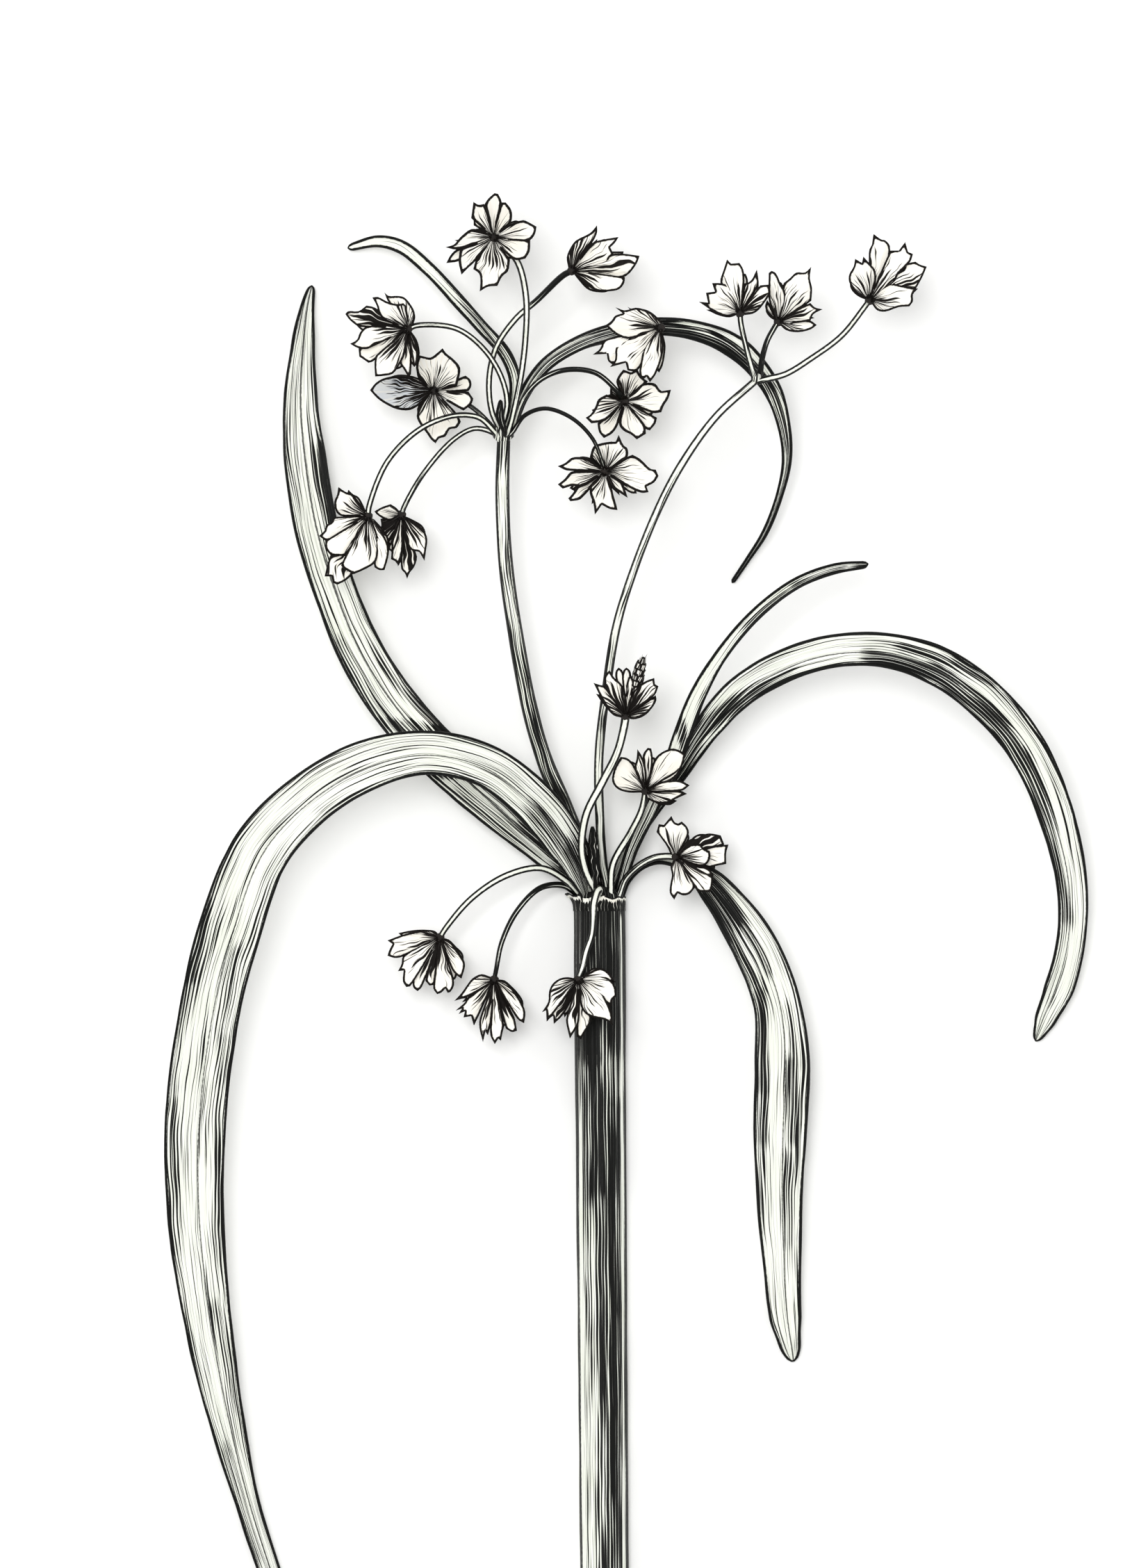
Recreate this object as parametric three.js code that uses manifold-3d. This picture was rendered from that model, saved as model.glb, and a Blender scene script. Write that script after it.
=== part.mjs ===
// The cut top of a northeastern bulrush, a tall sedge, lying on its side: a three-sided culm, leafy bracts,
// rays that arch out of its tip, and a cluster of pointed scales on the end of each ray.
// Millimetres. +Z is up from the surface it lies on, +Y runs along the culm to its tip, +X is to the right.
// The origin is on the culm's flat underside, at its tip, where the bracts and rays begin.

import * as THREE from "three";
import { mergeVertices } from "three/addons/utils/BufferGeometryUtils.js";
import Module from "manifold-3d";

const wasm = await Module();
wasm.setup();

// Culm: a rounded triangle that lies on one flat side. It leans by CULM_LEAN over its length.
const CULM_LENGTH = 122;
const CULM_WIDTH = 7.4;
const CULM_HEIGHT = 6.3;
const CULM_TIP = [-0.15, 0, 0];
const CULM_LEAN = 0.9;
const CULM_FOOT_SHARE = 0.84;
const CULM_CUT_SHARE = 0.92;

// Blades: folded strips. The fold is the depth of the channel as a share of the width.
const BLADE_THICKNESS = 0.6;
const BLADE_FOLD = 0.16;
const BLADE_STEPS_PER_STATION = 1;

// Rays: thin round stalks.
const RAY_SIDES = 5;
const RAY_STEPS_PER_STATION = 1.2;

// Scales: the pointed leaflets of a cluster. The profile gives the width at even steps from base to point.
const SCALE_PROFILE = [0.2, 0.88, 0.96, 0.1];
const SCALE_THICKNESS = 0.5;
const SCALE_BOW = 0.07;
const SCALE_START = 0.7;
const FRONT_LIFTS = [24, 6, 34, 12];
const BACK_LIFT = -30;
const BACK_REACH = 0.82;
const CORE_RADIUS = 1.1;

// Neighbours that meet keep this gap.
const GAP = 0.3;

const GREEN_STEM = { color: "#6f8a45", roughness: 0.5, metalness: 0 };
const GREEN_BLADE = { color: "#86a354", roughness: 0.55, metalness: 0 };
const GREEN_RAY = { color: "#9db166", roughness: 0.5, metalness: 0 };
const STRAW_SCALE = { color: "#d8c193", roughness: 0.7, metalness: 0 };

// Bracts, from base to tip. Each station is x, y, z and the blade's width there.
// Where a base is folded together, its thickness follows.
const BLADES = {
  bract_long_left: [
    [-1.9, 0.5, 5.0, 2.0], [-3.0, 4.2, 6.4, 4.2], [-5.2, 8.4, 8.2, 5.8], [-10.0, 14.3, 11.6, 6.2],
    [-16.6, 19.2, 14.4, 6.0], [-24.9, 21.0, 16.4, 6.2], [-33.3, 19.3, 17.4, 7.2], [-41.5, 14.6, 17.4, 7.6],
    [-48.6, 7.2, 16.4, 8.4], [-53.4, -5.0, 14.2, 9.0], [-56.2, -16.4, 11.8, 8.7], [-58.2, -31.5, 8.8, 8.8],
    [-58.2, -46.5, 6.4, 8.0], [-56.2, -63.0, 4.2, 6.6], [-53.9, -75.0, 2.6, 5.1], [-50.9, -87.0, 1.3, 3.5],
    [-47.2, -98.5, 0.6, 3.2], [-43.7, -108.0, 0.4, 2.3], [-41.2, -114.5, 0.35, 0.8],
  ],
  bract_upper_left: [
    [-1.2, 0.5, 0.9, 2.0], [-3.6, 3.2, 1.3, 3.2], [-7.2, 6.4, 2.2, 4.6], [-14.0, 12.4, 3.6, 6.0],
    [-21.4, 19.0, 4.8, 6.7], [-28.5, 26.4, 5.4, 6.9], [-34.1, 34.7, 5.4, 6.6], [-38.0, 43.8, 5.0, 6.0],
    [-40.9, 53.4, 4.4, 6.2], [-42.5, 63.0, 3.8, 6.0], [-43.2, 71.4, 3.2, 4.9], [-42.8, 80.3, 2.4, 3.2],
    [-42.2, 85.6, 1.2, 1.9], [-41.6, 88.4, 0.6, 0.9],
  ],
  bract_arching_right: [
    [1.4, 0.5, 1.6, 1.7], [4.1, 7.6, 3.0, 2.0], [7.5, 13.0, 4.6, 2.4], [11.2, 18.4, 6.6, 3.0],
    [14.7, 23.7, 8.6, 3.7], [19.7, 29.4, 11.0, 4.4], [25.8, 33.2, 13.0, 4.6], [32.4, 35.4, 14.4, 4.6],
    [40.0, 35.8, 15.0, 4.8], [47.5, 33.9, 14.6, 5.6], [54.7, 29.2, 13.2, 5.8], [61.2, 21.8, 10.8, 5.6],
    [65.3, 12.8, 8.2, 5.2], [67.8, 3.0, 5.6, 4.4], [67.9, -5.5, 3.6, 4.1], [66.4, -12.2, 1.9, 4.2],
    [64.2, -17.4, 0.8, 3.0], [62.8, -20.6, 0.4, 1.2],
  ],
  bract_short_right: [
    [2.5, 0.5, 2.8, 1.3], [4.6, 7.2, 4.9, 1.7], [7.3, 13.0, 6.6, 2.1], [9.9, 18.2, 8.0, 2.4],
    [11.6, 23.0, 9.2, 2.6], [13.9, 29.0, 10.7, 2.4], [17.0, 34.5, 12.0, 1.9], [22.0, 40.6, 13.0, 1.7],
    [28.1, 45.3, 13.2, 1.6], [33.6, 47.4, 12.4, 1.5], [38.5, 48.1, 11.0, 1.0],
  ],
  bract_lower_right: [
    [2.9, 0.5, 1.3, 1.0, 1.2], [3.9, 2.7, 2.3, 0.9, 1.6], [5.8, 4.6, 3.2, 0.9, 1.6],
    [8.2, 5.6, 3.9, 1.1, 1.4], [11.0, 5.4, 4.4, 1.8, 0.9], [13.4, 4.2, 4.7, 3.0], [15.9, 2.0, 4.9, 4.3],
    [19.0, -1.8, 5.3, 5.6], [22.6, -7.6, 5.5, 6.6], [25.4, -15.0, 5.3, 6.8],
    [26.2, -24.0, 4.8, 7.8], [25.9, -33.0, 4.1, 7.6], [25.8, -42.0, 3.3, 6.7], [26.1, -51.0, 2.4, 5.6],
    [26.7, -60.5, 1.1, 4.5], [27.8, -66.8, 0.4, 2.0],
  ],
  umbel_bract_left: [
    [-13.9, 67.0, 10.5, 1.0], [-12.6, 70.8, 10.1, 1.4], [-12.3, 74.6, 9.8, 1.6], [-13.6, 78.2, 9.4, 1.7],
    [-17.2, 82.4, 8.6, 1.8], [-20.8, 86.4, 7.6, 1.9], [-24.7, 90.6, 6.2, 1.9], [-28.6, 93.8, 4.7, 1.9],
    [-32.0, 94.7, 3.0, 1.7], [-36.4, 93.8, 0.7, 1.0],
  ],
  umbel_bract_arching: [
    [-13.0, 67.0, 10.9, 1.0], [-11.0, 72.4, 11.4, 1.5], [-8.0, 76.6, 12.2, 1.9], [-3.5, 79.6, 13.0, 2.1],
    [2.4, 81.6, 13.4, 2.3], [9.6, 82.2, 13.3, 2.5], [15.8, 81.0, 12.5, 2.9], [19.6, 79.1, 11.6, 3.3],
    [22.4, 76.5, 10.7, 2.9], [25.0, 72.6, 9.4, 2.5], [26.5, 67.5, 7.9, 1.8], [26.8, 62.9, 6.7, 1.3],
    [25.7, 57.8, 5.1, 1.0], [23.7, 52.7, 3.4, 0.9], [21.3, 48.9, 1.5, 0.7], [19.0, 45.5, 0.4, 0.6],
  ],
  umbel_bractlet: [
    [-13.8, 67.2, 14.5, 0.7], [-14.4, 69.2, 15.4, 1.1], [-14.3, 71.6, 16.2, 0.5],
  ],
};

// Rays, from base to tip: the radius at each end, and the stations as x, y and z.
const RAYS = {
  umbel_stem: [1.25, 0.95, [
    [-0.9, 0.5, 3.1], [-2.6, 6.6, 4.2], [-5.1, 13.0, 5.6], [-8.0, 19.8, 7.1], [-10.1, 27.0, 8.4],
    [-12.2, 38.0, 10.0], [-13.6, 48.0, 11.0], [-14.1, 58.0, 11.6], [-13.9, 66.5, 11.9],
  ]],
  ray_tall: [0.7, 0.55, [
    [1.0, 0.5, 3.1], [0.4, 4.6, 4.4], [-0.1, 12.0, 6.2], [-0.2, 20.5, 8.2], [0.9, 30.5, 10.6],
    [2.4, 39.5, 12.6], [5.0, 47.8, 14.6], [8.4, 56.2, 16.6], [11.8, 62.6, 18.2], [16.6, 69.2, 19.6],
    [22.1, 74.2, 20.6],
  ]],
  ray_upright: [0.55, 0.6, [
    [-0.3, 0.5, 5.7], [-2.0, 3.8, 7.6], [-2.7, 7.4, 9.6], [-2.0, 12.2, 12.0], [0.2, 16.6, 13.8],
    [2.4, 21.0, 15.6], [3.4, 24.8, 16.9],
  ]],
  ray_leaning: [0.5, 0.5, [
    [1.5, 0.5, 4.8], [1.8, 4.9, 6.4], [4.3, 9.4, 8.2], [5.8, 12.4, 9.5], [6.3, 14.2, 10.3],
  ]],
  ray_side: [0.5, 0.5, [
    [2.7, 0.5, 3.8], [3.6, 2.8, 4.9], [5.6, 4.8, 6.0], [7.8, 5.9, 7.0], [9.7, 6.1, 7.8],
  ]],
  ray_drooping_left: [0.5, 0.42, [
    [-2.9, 0.5, 2.8], [-5.0, 2.6, 4.3], [-8.6, 4.4, 6.0], [-13.6, 3.3, 7.3], [-18.6, 0.0, 7.6],
    [-22.3, -4.3, 7.1],
  ]],
  ray_drooping_middle: [0.48, 0.32, [
    [-3.1, 0.5, 1.3], [-5.4, 1.9, 3.3], [-8.7, 1.5, 4.9], [-12.0, -1.8, 5.8], [-14.2, -6.3, 6.0],
    [-15.0, -10.2, 6.0],
  ]],
  ray_drooping_front: [0.45, 0.4, [
    [0.9, 0.6, 6.2], [0.5, 1.4, 7.6], [-0.4, 0.4, 8.5], [-1.0, -2.4, 8.8], [-1.6, -6.4, 8.9],
    [-2.8, -10.2, 9.2],
  ]],
  ray_top: [0.42, 0.5, [
    [-13.3, 67.0, 13.2], [-11.7, 73.5, 15.0], [-10.8, 80.0, 16.4], [-10.7, 86.5, 17.2], [-11.9, 91.4, 17.1],
    [-14.0, 93.8, 16.9],
  ]],
  ray_top_right: [0.42, 0.45, [
    [-14.2, 67.0, 12.1], [-15.6, 70.0, 11.9], [-16.0, 74.6, 11.8], [-15.0, 79.2, 12.0], [-12.2, 83.3, 12.6],
    [-9.1, 86.0, 13.2], [-5.4, 89.5, 13.9],
  ]],
  ray_left: [0.4, 0.42, [
    [-14.3, 67.0, 13.3], [-13.4, 71.2, 14.3], [-14.4, 75.3, 15.1], [-17.0, 79.2, 15.8], [-20.8, 81.9, 16.4],
    [-26.3, 82.3, 16.8],
  ]],
  ray_inner_left: [0.34, 0.34, [
    [-14.8, 67.0, 10.9], [-17.5, 69.9, 9.8], [-20.3, 71.8, 8.8], [-22.6, 72.6, 8.0],
  ]],
  ray_low_left: [0.4, 0.42, [
    [-15.1, 67.0, 12.7], [-17.4, 69.1, 13.4], [-21.0, 69.4, 14.1], [-26.0, 67.4, 14.5], [-30.6, 62.8, 14.4],
    [-33.2, 56.5, 14.0],
  ]],
  ray_low_left_inner: [0.38, 0.38, [
    [-15.2, 66.9, 11.5], [-18.0, 67.6, 11.5], [-21.0, 66.1, 11.4], [-25.4, 61.2, 10.8], [-28.2, 56.4, 9.9],
  ]],
  ray_right_upper: [0.36, 0.36, [
    [-13.2, 67.0, 9.7], [-11.0, 71.8, 9.4], [-8.0, 75.9, 9.7], [-3.5, 78.9, 10.4], [1.5, 80.2, 11.2],
    [5.6, 79.9, 12.4], [8.2, 81.0, 14.6],
  ]],
  ray_right_middle: [0.38, 0.38, [
    [-12.9, 67.0, 12.1], [-11.0, 71.9, 12.9], [-8.4, 74.7, 13.4], [-4.8, 76.0, 13.6], [-0.6, 75.5, 13.4],
    [2.5, 72.8, 13.0],
  ]],
  ray_right_lower: [0.32, 0.28, [
    [-12.7, 67.0, 13.1], [-10.9, 69.4, 14.2], [-7.9, 70.4, 15.2], [-4.1, 69.0, 15.9], [-1.1, 66.0, 15.9],
    [0.3, 62.6, 15.1],
  ]],
  ray_tall_left: [0.42, 0.4, [
    [22.0, 75.1, 21.0], [21.2, 77.8, 21.2], [20.6, 80.2, 21.2], [20.1, 82.6, 21.1],
  ]],
  ray_tall_middle: [0.4, 0.4, [
    [22.8, 75.1, 20.2], [23.2, 77.6, 19.7], [23.9, 80.0, 19.3], [24.8, 81.7, 19.0],
  ]],
  ray_tall_right: [0.45, 0.42, [
    [23.1, 74.4, 20.9], [26.4, 75.2, 20.4], [30.2, 77.5, 19.4], [34.6, 80.8, 17.9], [37.8, 84.8, 16.6],
  ]],
};

// Spikelet clusters: where the scales meet, and for each scale its heading in degrees from +X as seen from
// above, how far it reaches and how wide it is.
const CLUSTERS = {
  cluster_top: [[-15.3, 94.9, 18.2], [
    [121, 5.7, 2.8], [88, 6.4, 3.6], [55, 4.6, 2.8], [13, 6.4, 4.0], [-33, 5.6, 4.2], [-90, 7.5, 4.6],
    [230, 7.0, 2.4], [208, 7.6, 2.6], [190, 7.0, 3.0],
  ]],
  cluster_top_right: [[-4.1, 90.2, 14.2], [
    [62, 7.4, 3.0], [36, 8.3, 4.2], [11, 9.6, 3.6], [-18, 7.6, 3.6],
  ]],
  cluster_left: [[-27.6, 81.8, 17.0], [
    [122, 6.2, 3.6], [141, 6.8, 3.6], [166, 9.2, 2.4], [196, 8.6, 4.0], [220, 7.6, 3.6], [241, 8.3, 4.2],
    [270, 6.6, 2.6],
  ]],
  cluster_inner_left: [[-24.0, 73.1, 8.8], [
    [181, 9.2, 4.8], [116, 5.4, 3.0], [80, 6.2, 5.4], [20, 5.5, 2.6], [-18, 6.0, 2.8], [-56, 6.4, 3.4],
    [-92, 7.6, 5.2],
  ]],
  cluster_low_left: [[-33.4, 55.0, 14.0], [
    [137, 5.9, 3.4], [200, 7.3, 3.8], [224, 7.6, 3.6], [241, 10.6, 3.6], [258, 8.6, 4.8], [286, 8.2, 2.6],
  ]],
  cluster_low_left_inner: [[-28.6, 55.2, 9.6], [
    [172, 4.0, 2.6], [246, 5.4, 2.4], [262, 7.2, 2.6], [-84, 9.1, 2.8], [-60, 7.4, 3.4],
  ]],
  cluster_right_upper: [[8.6, 82.0, 15.9], [
    [166, 7.7, 4.0], [237, 7.8, 4.2], [205, 9.8, 3.0], [222, 8.6, 3.0], [262, 7.6, 3.0],
  ]],
  cluster_right_middle: [[3.5, 71.5, 12.4], [
    [18, 6.9, 4.6], [-25, 5.4, 3.4], [-62, 5.8, 4.4], [238, 6.0, 3.6], [198, 6.0, 3.8], [150, 4.2, 2.6],
    [86, 4.4, 3.2],
  ]],
  cluster_right_lower: [[0.7, 61.4, 14.2], [
    [80, 5.2, 5.2], [-2, 7.6, 5.0], [-48, 5.0, 1.8], [-76, 5.8, 2.4], [263, 6.2, 3.6], [219, 6.9, 2.2],
    [197, 7.0, 2.6], [171, 6.7, 2.6],
  ]],
  cluster_tall_left: [[20.0, 84.0, 21.2], [
    [161, 6.0, 3.0], [136, 5.8, 3.4], [101, 7.8, 3.2], [66, 6.6, 2.2], [38, 6.0, 3.2],
  ]],
  cluster_tall_middle: [[25.5, 82.8, 18.8], [
    [128, 3.4, 1.8], [98, 7.0, 2.4], [61, 8.4, 4.4], [18, 6.5, 2.8], [-9, 5.2, 2.4],
  ]],
  cluster_tall_right: [[38.6, 85.9, 16.4], [
    [110, 6.4, 3.2], [84, 9.4, 3.0], [60, 9.4, 3.4], [33, 9.4, 3.4], [6, 6.8, 3.6],
  ]],
  cluster_upright: [[3.6, 26.2, 17.4], [
    [135, 6.4, 3.0], [110, 6.6, 2.6], [76, 8.8, 1.8], [52, 6.8, 3.0], [32, 5.4, 2.8],
  ]],
  cluster_leaning: [[6.5, 15.5, 10.9], [
    [133, 6.1, 4.4], [102, 6.0, 2.2], [84, 6.2, 2.2], [56, 7.0, 4.8], [8, 6.4, 2.4], [-12, 5.2, 2.2],
  ]],
  cluster_side: [[10.9, 6.0, 8.4], [
    [95, 5.7, 4.2], [24, 7.2, 3.4], [3, 7.4, 3.0], [-26, 6.0, 2.4], [-46, 6.4, 3.2], [-80, 6.0, 3.8],
  ]],
  cluster_drooping_left: [[-23.1, -5.6, 6.8], [
    [190, 7.5, 2.8], [214, 7.4, 2.8], [236, 8.6, 2.8], [248, 8.3, 2.6], [-88, 8.0, 3.2], [-58, 6.6, 2.8],
  ]],
  cluster_drooping_middle: [[-15.3, -11.7, 6.0], [
    [205, 6.2, 2.6], [228, 6.6, 3.8], [258, 9.0, 2.4], [-86, 9.0, 2.4], [-68, 8.1, 2.4], [-50, 7.4, 2.8],
  ]],
  cluster_drooping_front: [[-3.2, -11.6, 9.4], [
    [216, 6.8, 3.0], [240, 7.4, 2.6], [262, 8.7, 2.4], [-82, 8.0, 2.6], [-58, 7.8, 3.8], [-32, 6.0, 2.8],
  ]],
};

const UP = new THREE.Vector3(0, 0, 1);

// A closed three.js geometry with its shared vertices merged, so that it can be reshaped and stay closed.
function closedForm(geometry) {
  geometry.deleteAttribute("normal");
  geometry.deleteAttribute("uv");
  return mergeVertices(geometry);
}

// Moves every vertex of a closed form with place(x, y, z), and gives the result as a solid.
function shaped(form, place) {
  const at = form.getAttribute("position");
  for (let i = 0; i < at.count; i++) {
    at.setXYZ(i, ...place(at.getX(i), at.getY(i), at.getZ(i)).toArray());
  }
  return new wasm.Manifold(new wasm.Mesh({
    numProp: 3,
    vertProperties: new Float32Array(at.array),
    triVerts: new Uint32Array(form.index.array),
  }));
}

// The side and normal directions of a line that runs along a tangent: the side stays level.
function levelFrame(tangent) {
  const side = new THREE.Vector3().crossVectors(tangent, UP).normalize();
  const normal = new THREE.Vector3().crossVectors(side, tangent).normalize();
  return { side, normal };
}

function offset(point, side, across, normal, height) {
  return point.clone().addScaledVector(side, across).addScaledVector(normal, height);
}

// A folded blade. A box with a crease along its middle is laid along the stations.
function blade(stations, grow) {
  const line = new THREE.CatmullRomCurve3(stations.map(([x, y, z]) => new THREE.Vector3(x, y, z)));
  const size = new THREE.CatmullRomCurve3(
    stations.map(([, , , width, thickness = BLADE_THICKNESS]) => new THREE.Vector3(width, thickness, 0)),
  );
  const steps = Math.round((stations.length - 1) * BLADE_STEPS_PER_STATION);
  const form = closedForm(new THREE.BoxGeometry(1, 1, 1, 2, 1, steps));
  return shaped(form, (x, y, z) => {
    const along = 0.5 - z;
    const { side, normal } = levelFrame(line.getTangent(along));
    const { x: width, y: thickness } = size.getPoint(along);
    const height = width * BLADE_FOLD * Math.abs(2 * x) + y * (thickness + 2 * grow);
    return offset(line.getPoint(along), side, x * (width + 2 * grow), normal, height);
  });
}

// A round stalk that tapers from its base radius to its tip radius.
function ray([baseRadius, tipRadius, stations], grow) {
  const line = new THREE.CatmullRomCurve3(stations.map((p) => new THREE.Vector3(...p)));
  const steps = Math.round((stations.length - 1) * RAY_STEPS_PER_STATION);
  const form = closedForm(new THREE.CylinderGeometry(1, 1, 1, RAY_SIDES, steps));
  return shaped(form, (x, y, z) => {
    const along = y + 0.5;
    const { side, normal } = levelFrame(line.getTangent(along));
    const radius = baseRadius + (tipRadius - baseRadius) * along + grow;
    return offset(line.getPoint(along), side, x * radius, normal, z * radius);
  });
}

// One scale: a three-sided spindle, flat inside and ridged outside, that bows as it leaves the middle.
function scale(centre, heading, reach, width, lift, grow) {
  const steps = SCALE_PROFILE.length - 1;
  const direction = new THREE.Vector3(1, 0, 0)
    .applyAxisAngle(new THREE.Vector3(0, -1, 0), THREE.MathUtils.degToRad(lift))
    .applyAxisAngle(UP, THREE.MathUtils.degToRad(heading));
  const { side, normal } = levelFrame(direction);
  const length = reach / Math.cos(THREE.MathUtils.degToRad(lift));
  const form = closedForm(new THREE.CylinderGeometry(1, 1, 1, 3, steps));
  return shaped(form, (x, y, z) => {
    const along = y + 0.5;
    const breadth = (width / Math.sqrt(3)) * SCALE_PROFILE[Math.round(along * steps)] + grow;
    const bow = length * SCALE_BOW * Math.sin(Math.PI * along);
    const onLine = centre.clone().addScaledVector(direction, SCALE_START + (length - SCALE_START) * along);
    return offset(onLine, side, x * breadth, normal, z * (SCALE_THICKNESS / 1.5 + grow) - bow);
  });
}

// A cluster: its scales, a shorter layer of them behind, and the small knob that they grow from.
function cluster([at, scales], grow) {
  const centre = new THREE.Vector3(...at);
  const knob = closedForm(new THREE.IcosahedronGeometry(CORE_RADIUS + grow));
  let made = shaped(knob, (x, y, z) => new THREE.Vector3(x, y, z).add(centre));
  scales.forEach(([heading, reach, width], i) => {
    const lift = FRONT_LIFTS[i % FRONT_LIFTS.length];
    made = made.add(scale(centre, heading, reach, width, lift, grow));
    if (i % 4 === 1) {
      made = made.add(scale(centre, heading, reach * BACK_REACH, width, BACK_LIFT, grow));
    }
  });
  return made;
}

// The culm's section: a rounded triangle with its flat side down.
function culm([[tipX]], grow) {
  const half = CULM_WIDTH / 2;
  const foot = half * CULM_FOOT_SHARE;
  const shoulder = CULM_HEIGHT * 0.44;
  const section = new THREE.Shape();
  section.moveTo(-foot, 0);
  section.lineTo(foot, 0);
  section.bezierCurveTo(half * 1.02, 0, half * 1.05, shoulder * 0.6, half * 0.95, shoulder);
  section.bezierCurveTo(half * 0.75, shoulder * 2, half * 0.38, CULM_HEIGHT, 0, CULM_HEIGHT);
  section.bezierCurveTo(-half * 0.38, CULM_HEIGHT, -half * 0.75, shoulder * 2, -half * 0.95, shoulder);
  section.bezierCurveTo(-half * 1.05, shoulder * 0.6, -half * 1.02, 0, -foot, 0);
  const form = closedForm(new THREE.ExtrudeGeometry(section, {
    depth: 1, steps: 4, bevelEnabled: false, curveSegments: 4,
  }));
  return shaped(form, (x, y, z) => {
    const taper = (1 - (1 - CULM_CUT_SHARE) * z) * (1 + (2 * grow) / CULM_WIDTH);
    const along = grow - (CULM_LENGTH + 2 * grow) * z;
    return new THREE.Vector3(tipX + CULM_LEAN * z + x * taper, along, y * (1 + grow / CULM_HEIGHT));
  });
}

// The largest body of a solid: what a neighbour's gap cuts loose is left out.
function largest(solid) {
  return solid.decompose().reduce((best, part) => (part.volume() > best.volume() ? part : best));
}

// A named mesh whose own origin is the place where the piece begins.
function meshOf(name, finish, solid, [x, y, z]) {
  const { vertProperties, triVerts } = solid.getMesh();
  const geometry = new THREE.BufferGeometry();
  geometry.setAttribute("position", new THREE.BufferAttribute(vertProperties, 3));
  geometry.setIndex(new THREE.BufferAttribute(triVerts, 1));
  geometry.translate(-x, -y, -z);
  geometry.computeVertexNormals();
  const mesh = new THREE.Mesh(geometry, new THREE.MeshStandardMaterial(finish));
  mesh.name = name;
  mesh.position.set(x, y, z);
  return mesh;
}

// The families of pieces, in the order in which neighbours give way: a piece is cut back from the pieces
// before it, so that all keep the gap.
const FAMILIES = [
  { family: "stems", finish: GREEN_STEM, rows: { culm: [CULM_TIP] }, make: culm, start: (row) => row[0] },
  { family: "rays", finish: GREEN_RAY, rows: RAYS, make: ray, start: (row) => row[2][0] },
  { family: "bracts", finish: GREEN_BLADE, rows: BLADES, make: blade, start: (row) => row[0] },
  { family: "clusters", finish: STRAW_SCALE, rows: CLUSTERS, make: cluster, start: (row) => row[0] },
];

const bulrush = new THREE.Group();
const cleared = [];
for (const { family, finish, rows, make, start } of FAMILIES) {
  const group = new THREE.Group();
  group.name = family;
  for (const [name, row] of Object.entries(rows)) {
    const kept = largest(cleared.reduce((solid, neighbour) => solid.subtract(neighbour), make(row, 0)));
    group.add(meshOf(name, finish, kept, start(row)));
    cleared.push(make(row, GAP));
  }
  bulrush.add(group);
}

export default bulrush;
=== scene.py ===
"""The cut top of a northeastern bulrush, a tall sedge, lying on its side.

A three-sided culm, leafy bracts, rays that arch out of its tip, and a cluster of papery scales on each ray.
Tables are in millimetres. +Z is up, +Y runs along the culm to its tip and +X is to the right.
"""

import math
import random

import bmesh
import bpy
from mathutils import Matrix, Vector, noise


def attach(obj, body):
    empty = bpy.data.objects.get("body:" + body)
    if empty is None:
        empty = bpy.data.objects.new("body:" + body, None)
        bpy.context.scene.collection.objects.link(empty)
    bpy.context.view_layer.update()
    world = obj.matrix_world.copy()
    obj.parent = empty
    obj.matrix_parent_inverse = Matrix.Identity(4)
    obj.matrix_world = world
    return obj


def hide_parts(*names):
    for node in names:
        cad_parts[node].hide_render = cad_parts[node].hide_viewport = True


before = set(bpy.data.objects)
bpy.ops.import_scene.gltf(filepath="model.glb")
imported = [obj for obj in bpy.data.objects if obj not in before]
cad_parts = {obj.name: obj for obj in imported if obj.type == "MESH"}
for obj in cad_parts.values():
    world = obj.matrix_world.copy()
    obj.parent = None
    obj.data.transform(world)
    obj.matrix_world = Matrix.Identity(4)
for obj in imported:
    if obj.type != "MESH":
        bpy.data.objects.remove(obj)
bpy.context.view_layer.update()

bl_info = {
    "name": "Northeastern bulrush",
    "version": (1, 0, 0),
    "blender": (4, 5, 0),
    "location": "View3D > Sidebar > Bulrush",
    "description": "Builds the cut flower head of a northeastern bulrush, lying on a pale surface",
    "category": "Add Mesh",
}

MM = 0.001
UP = Vector((0, 0, 1))

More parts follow.
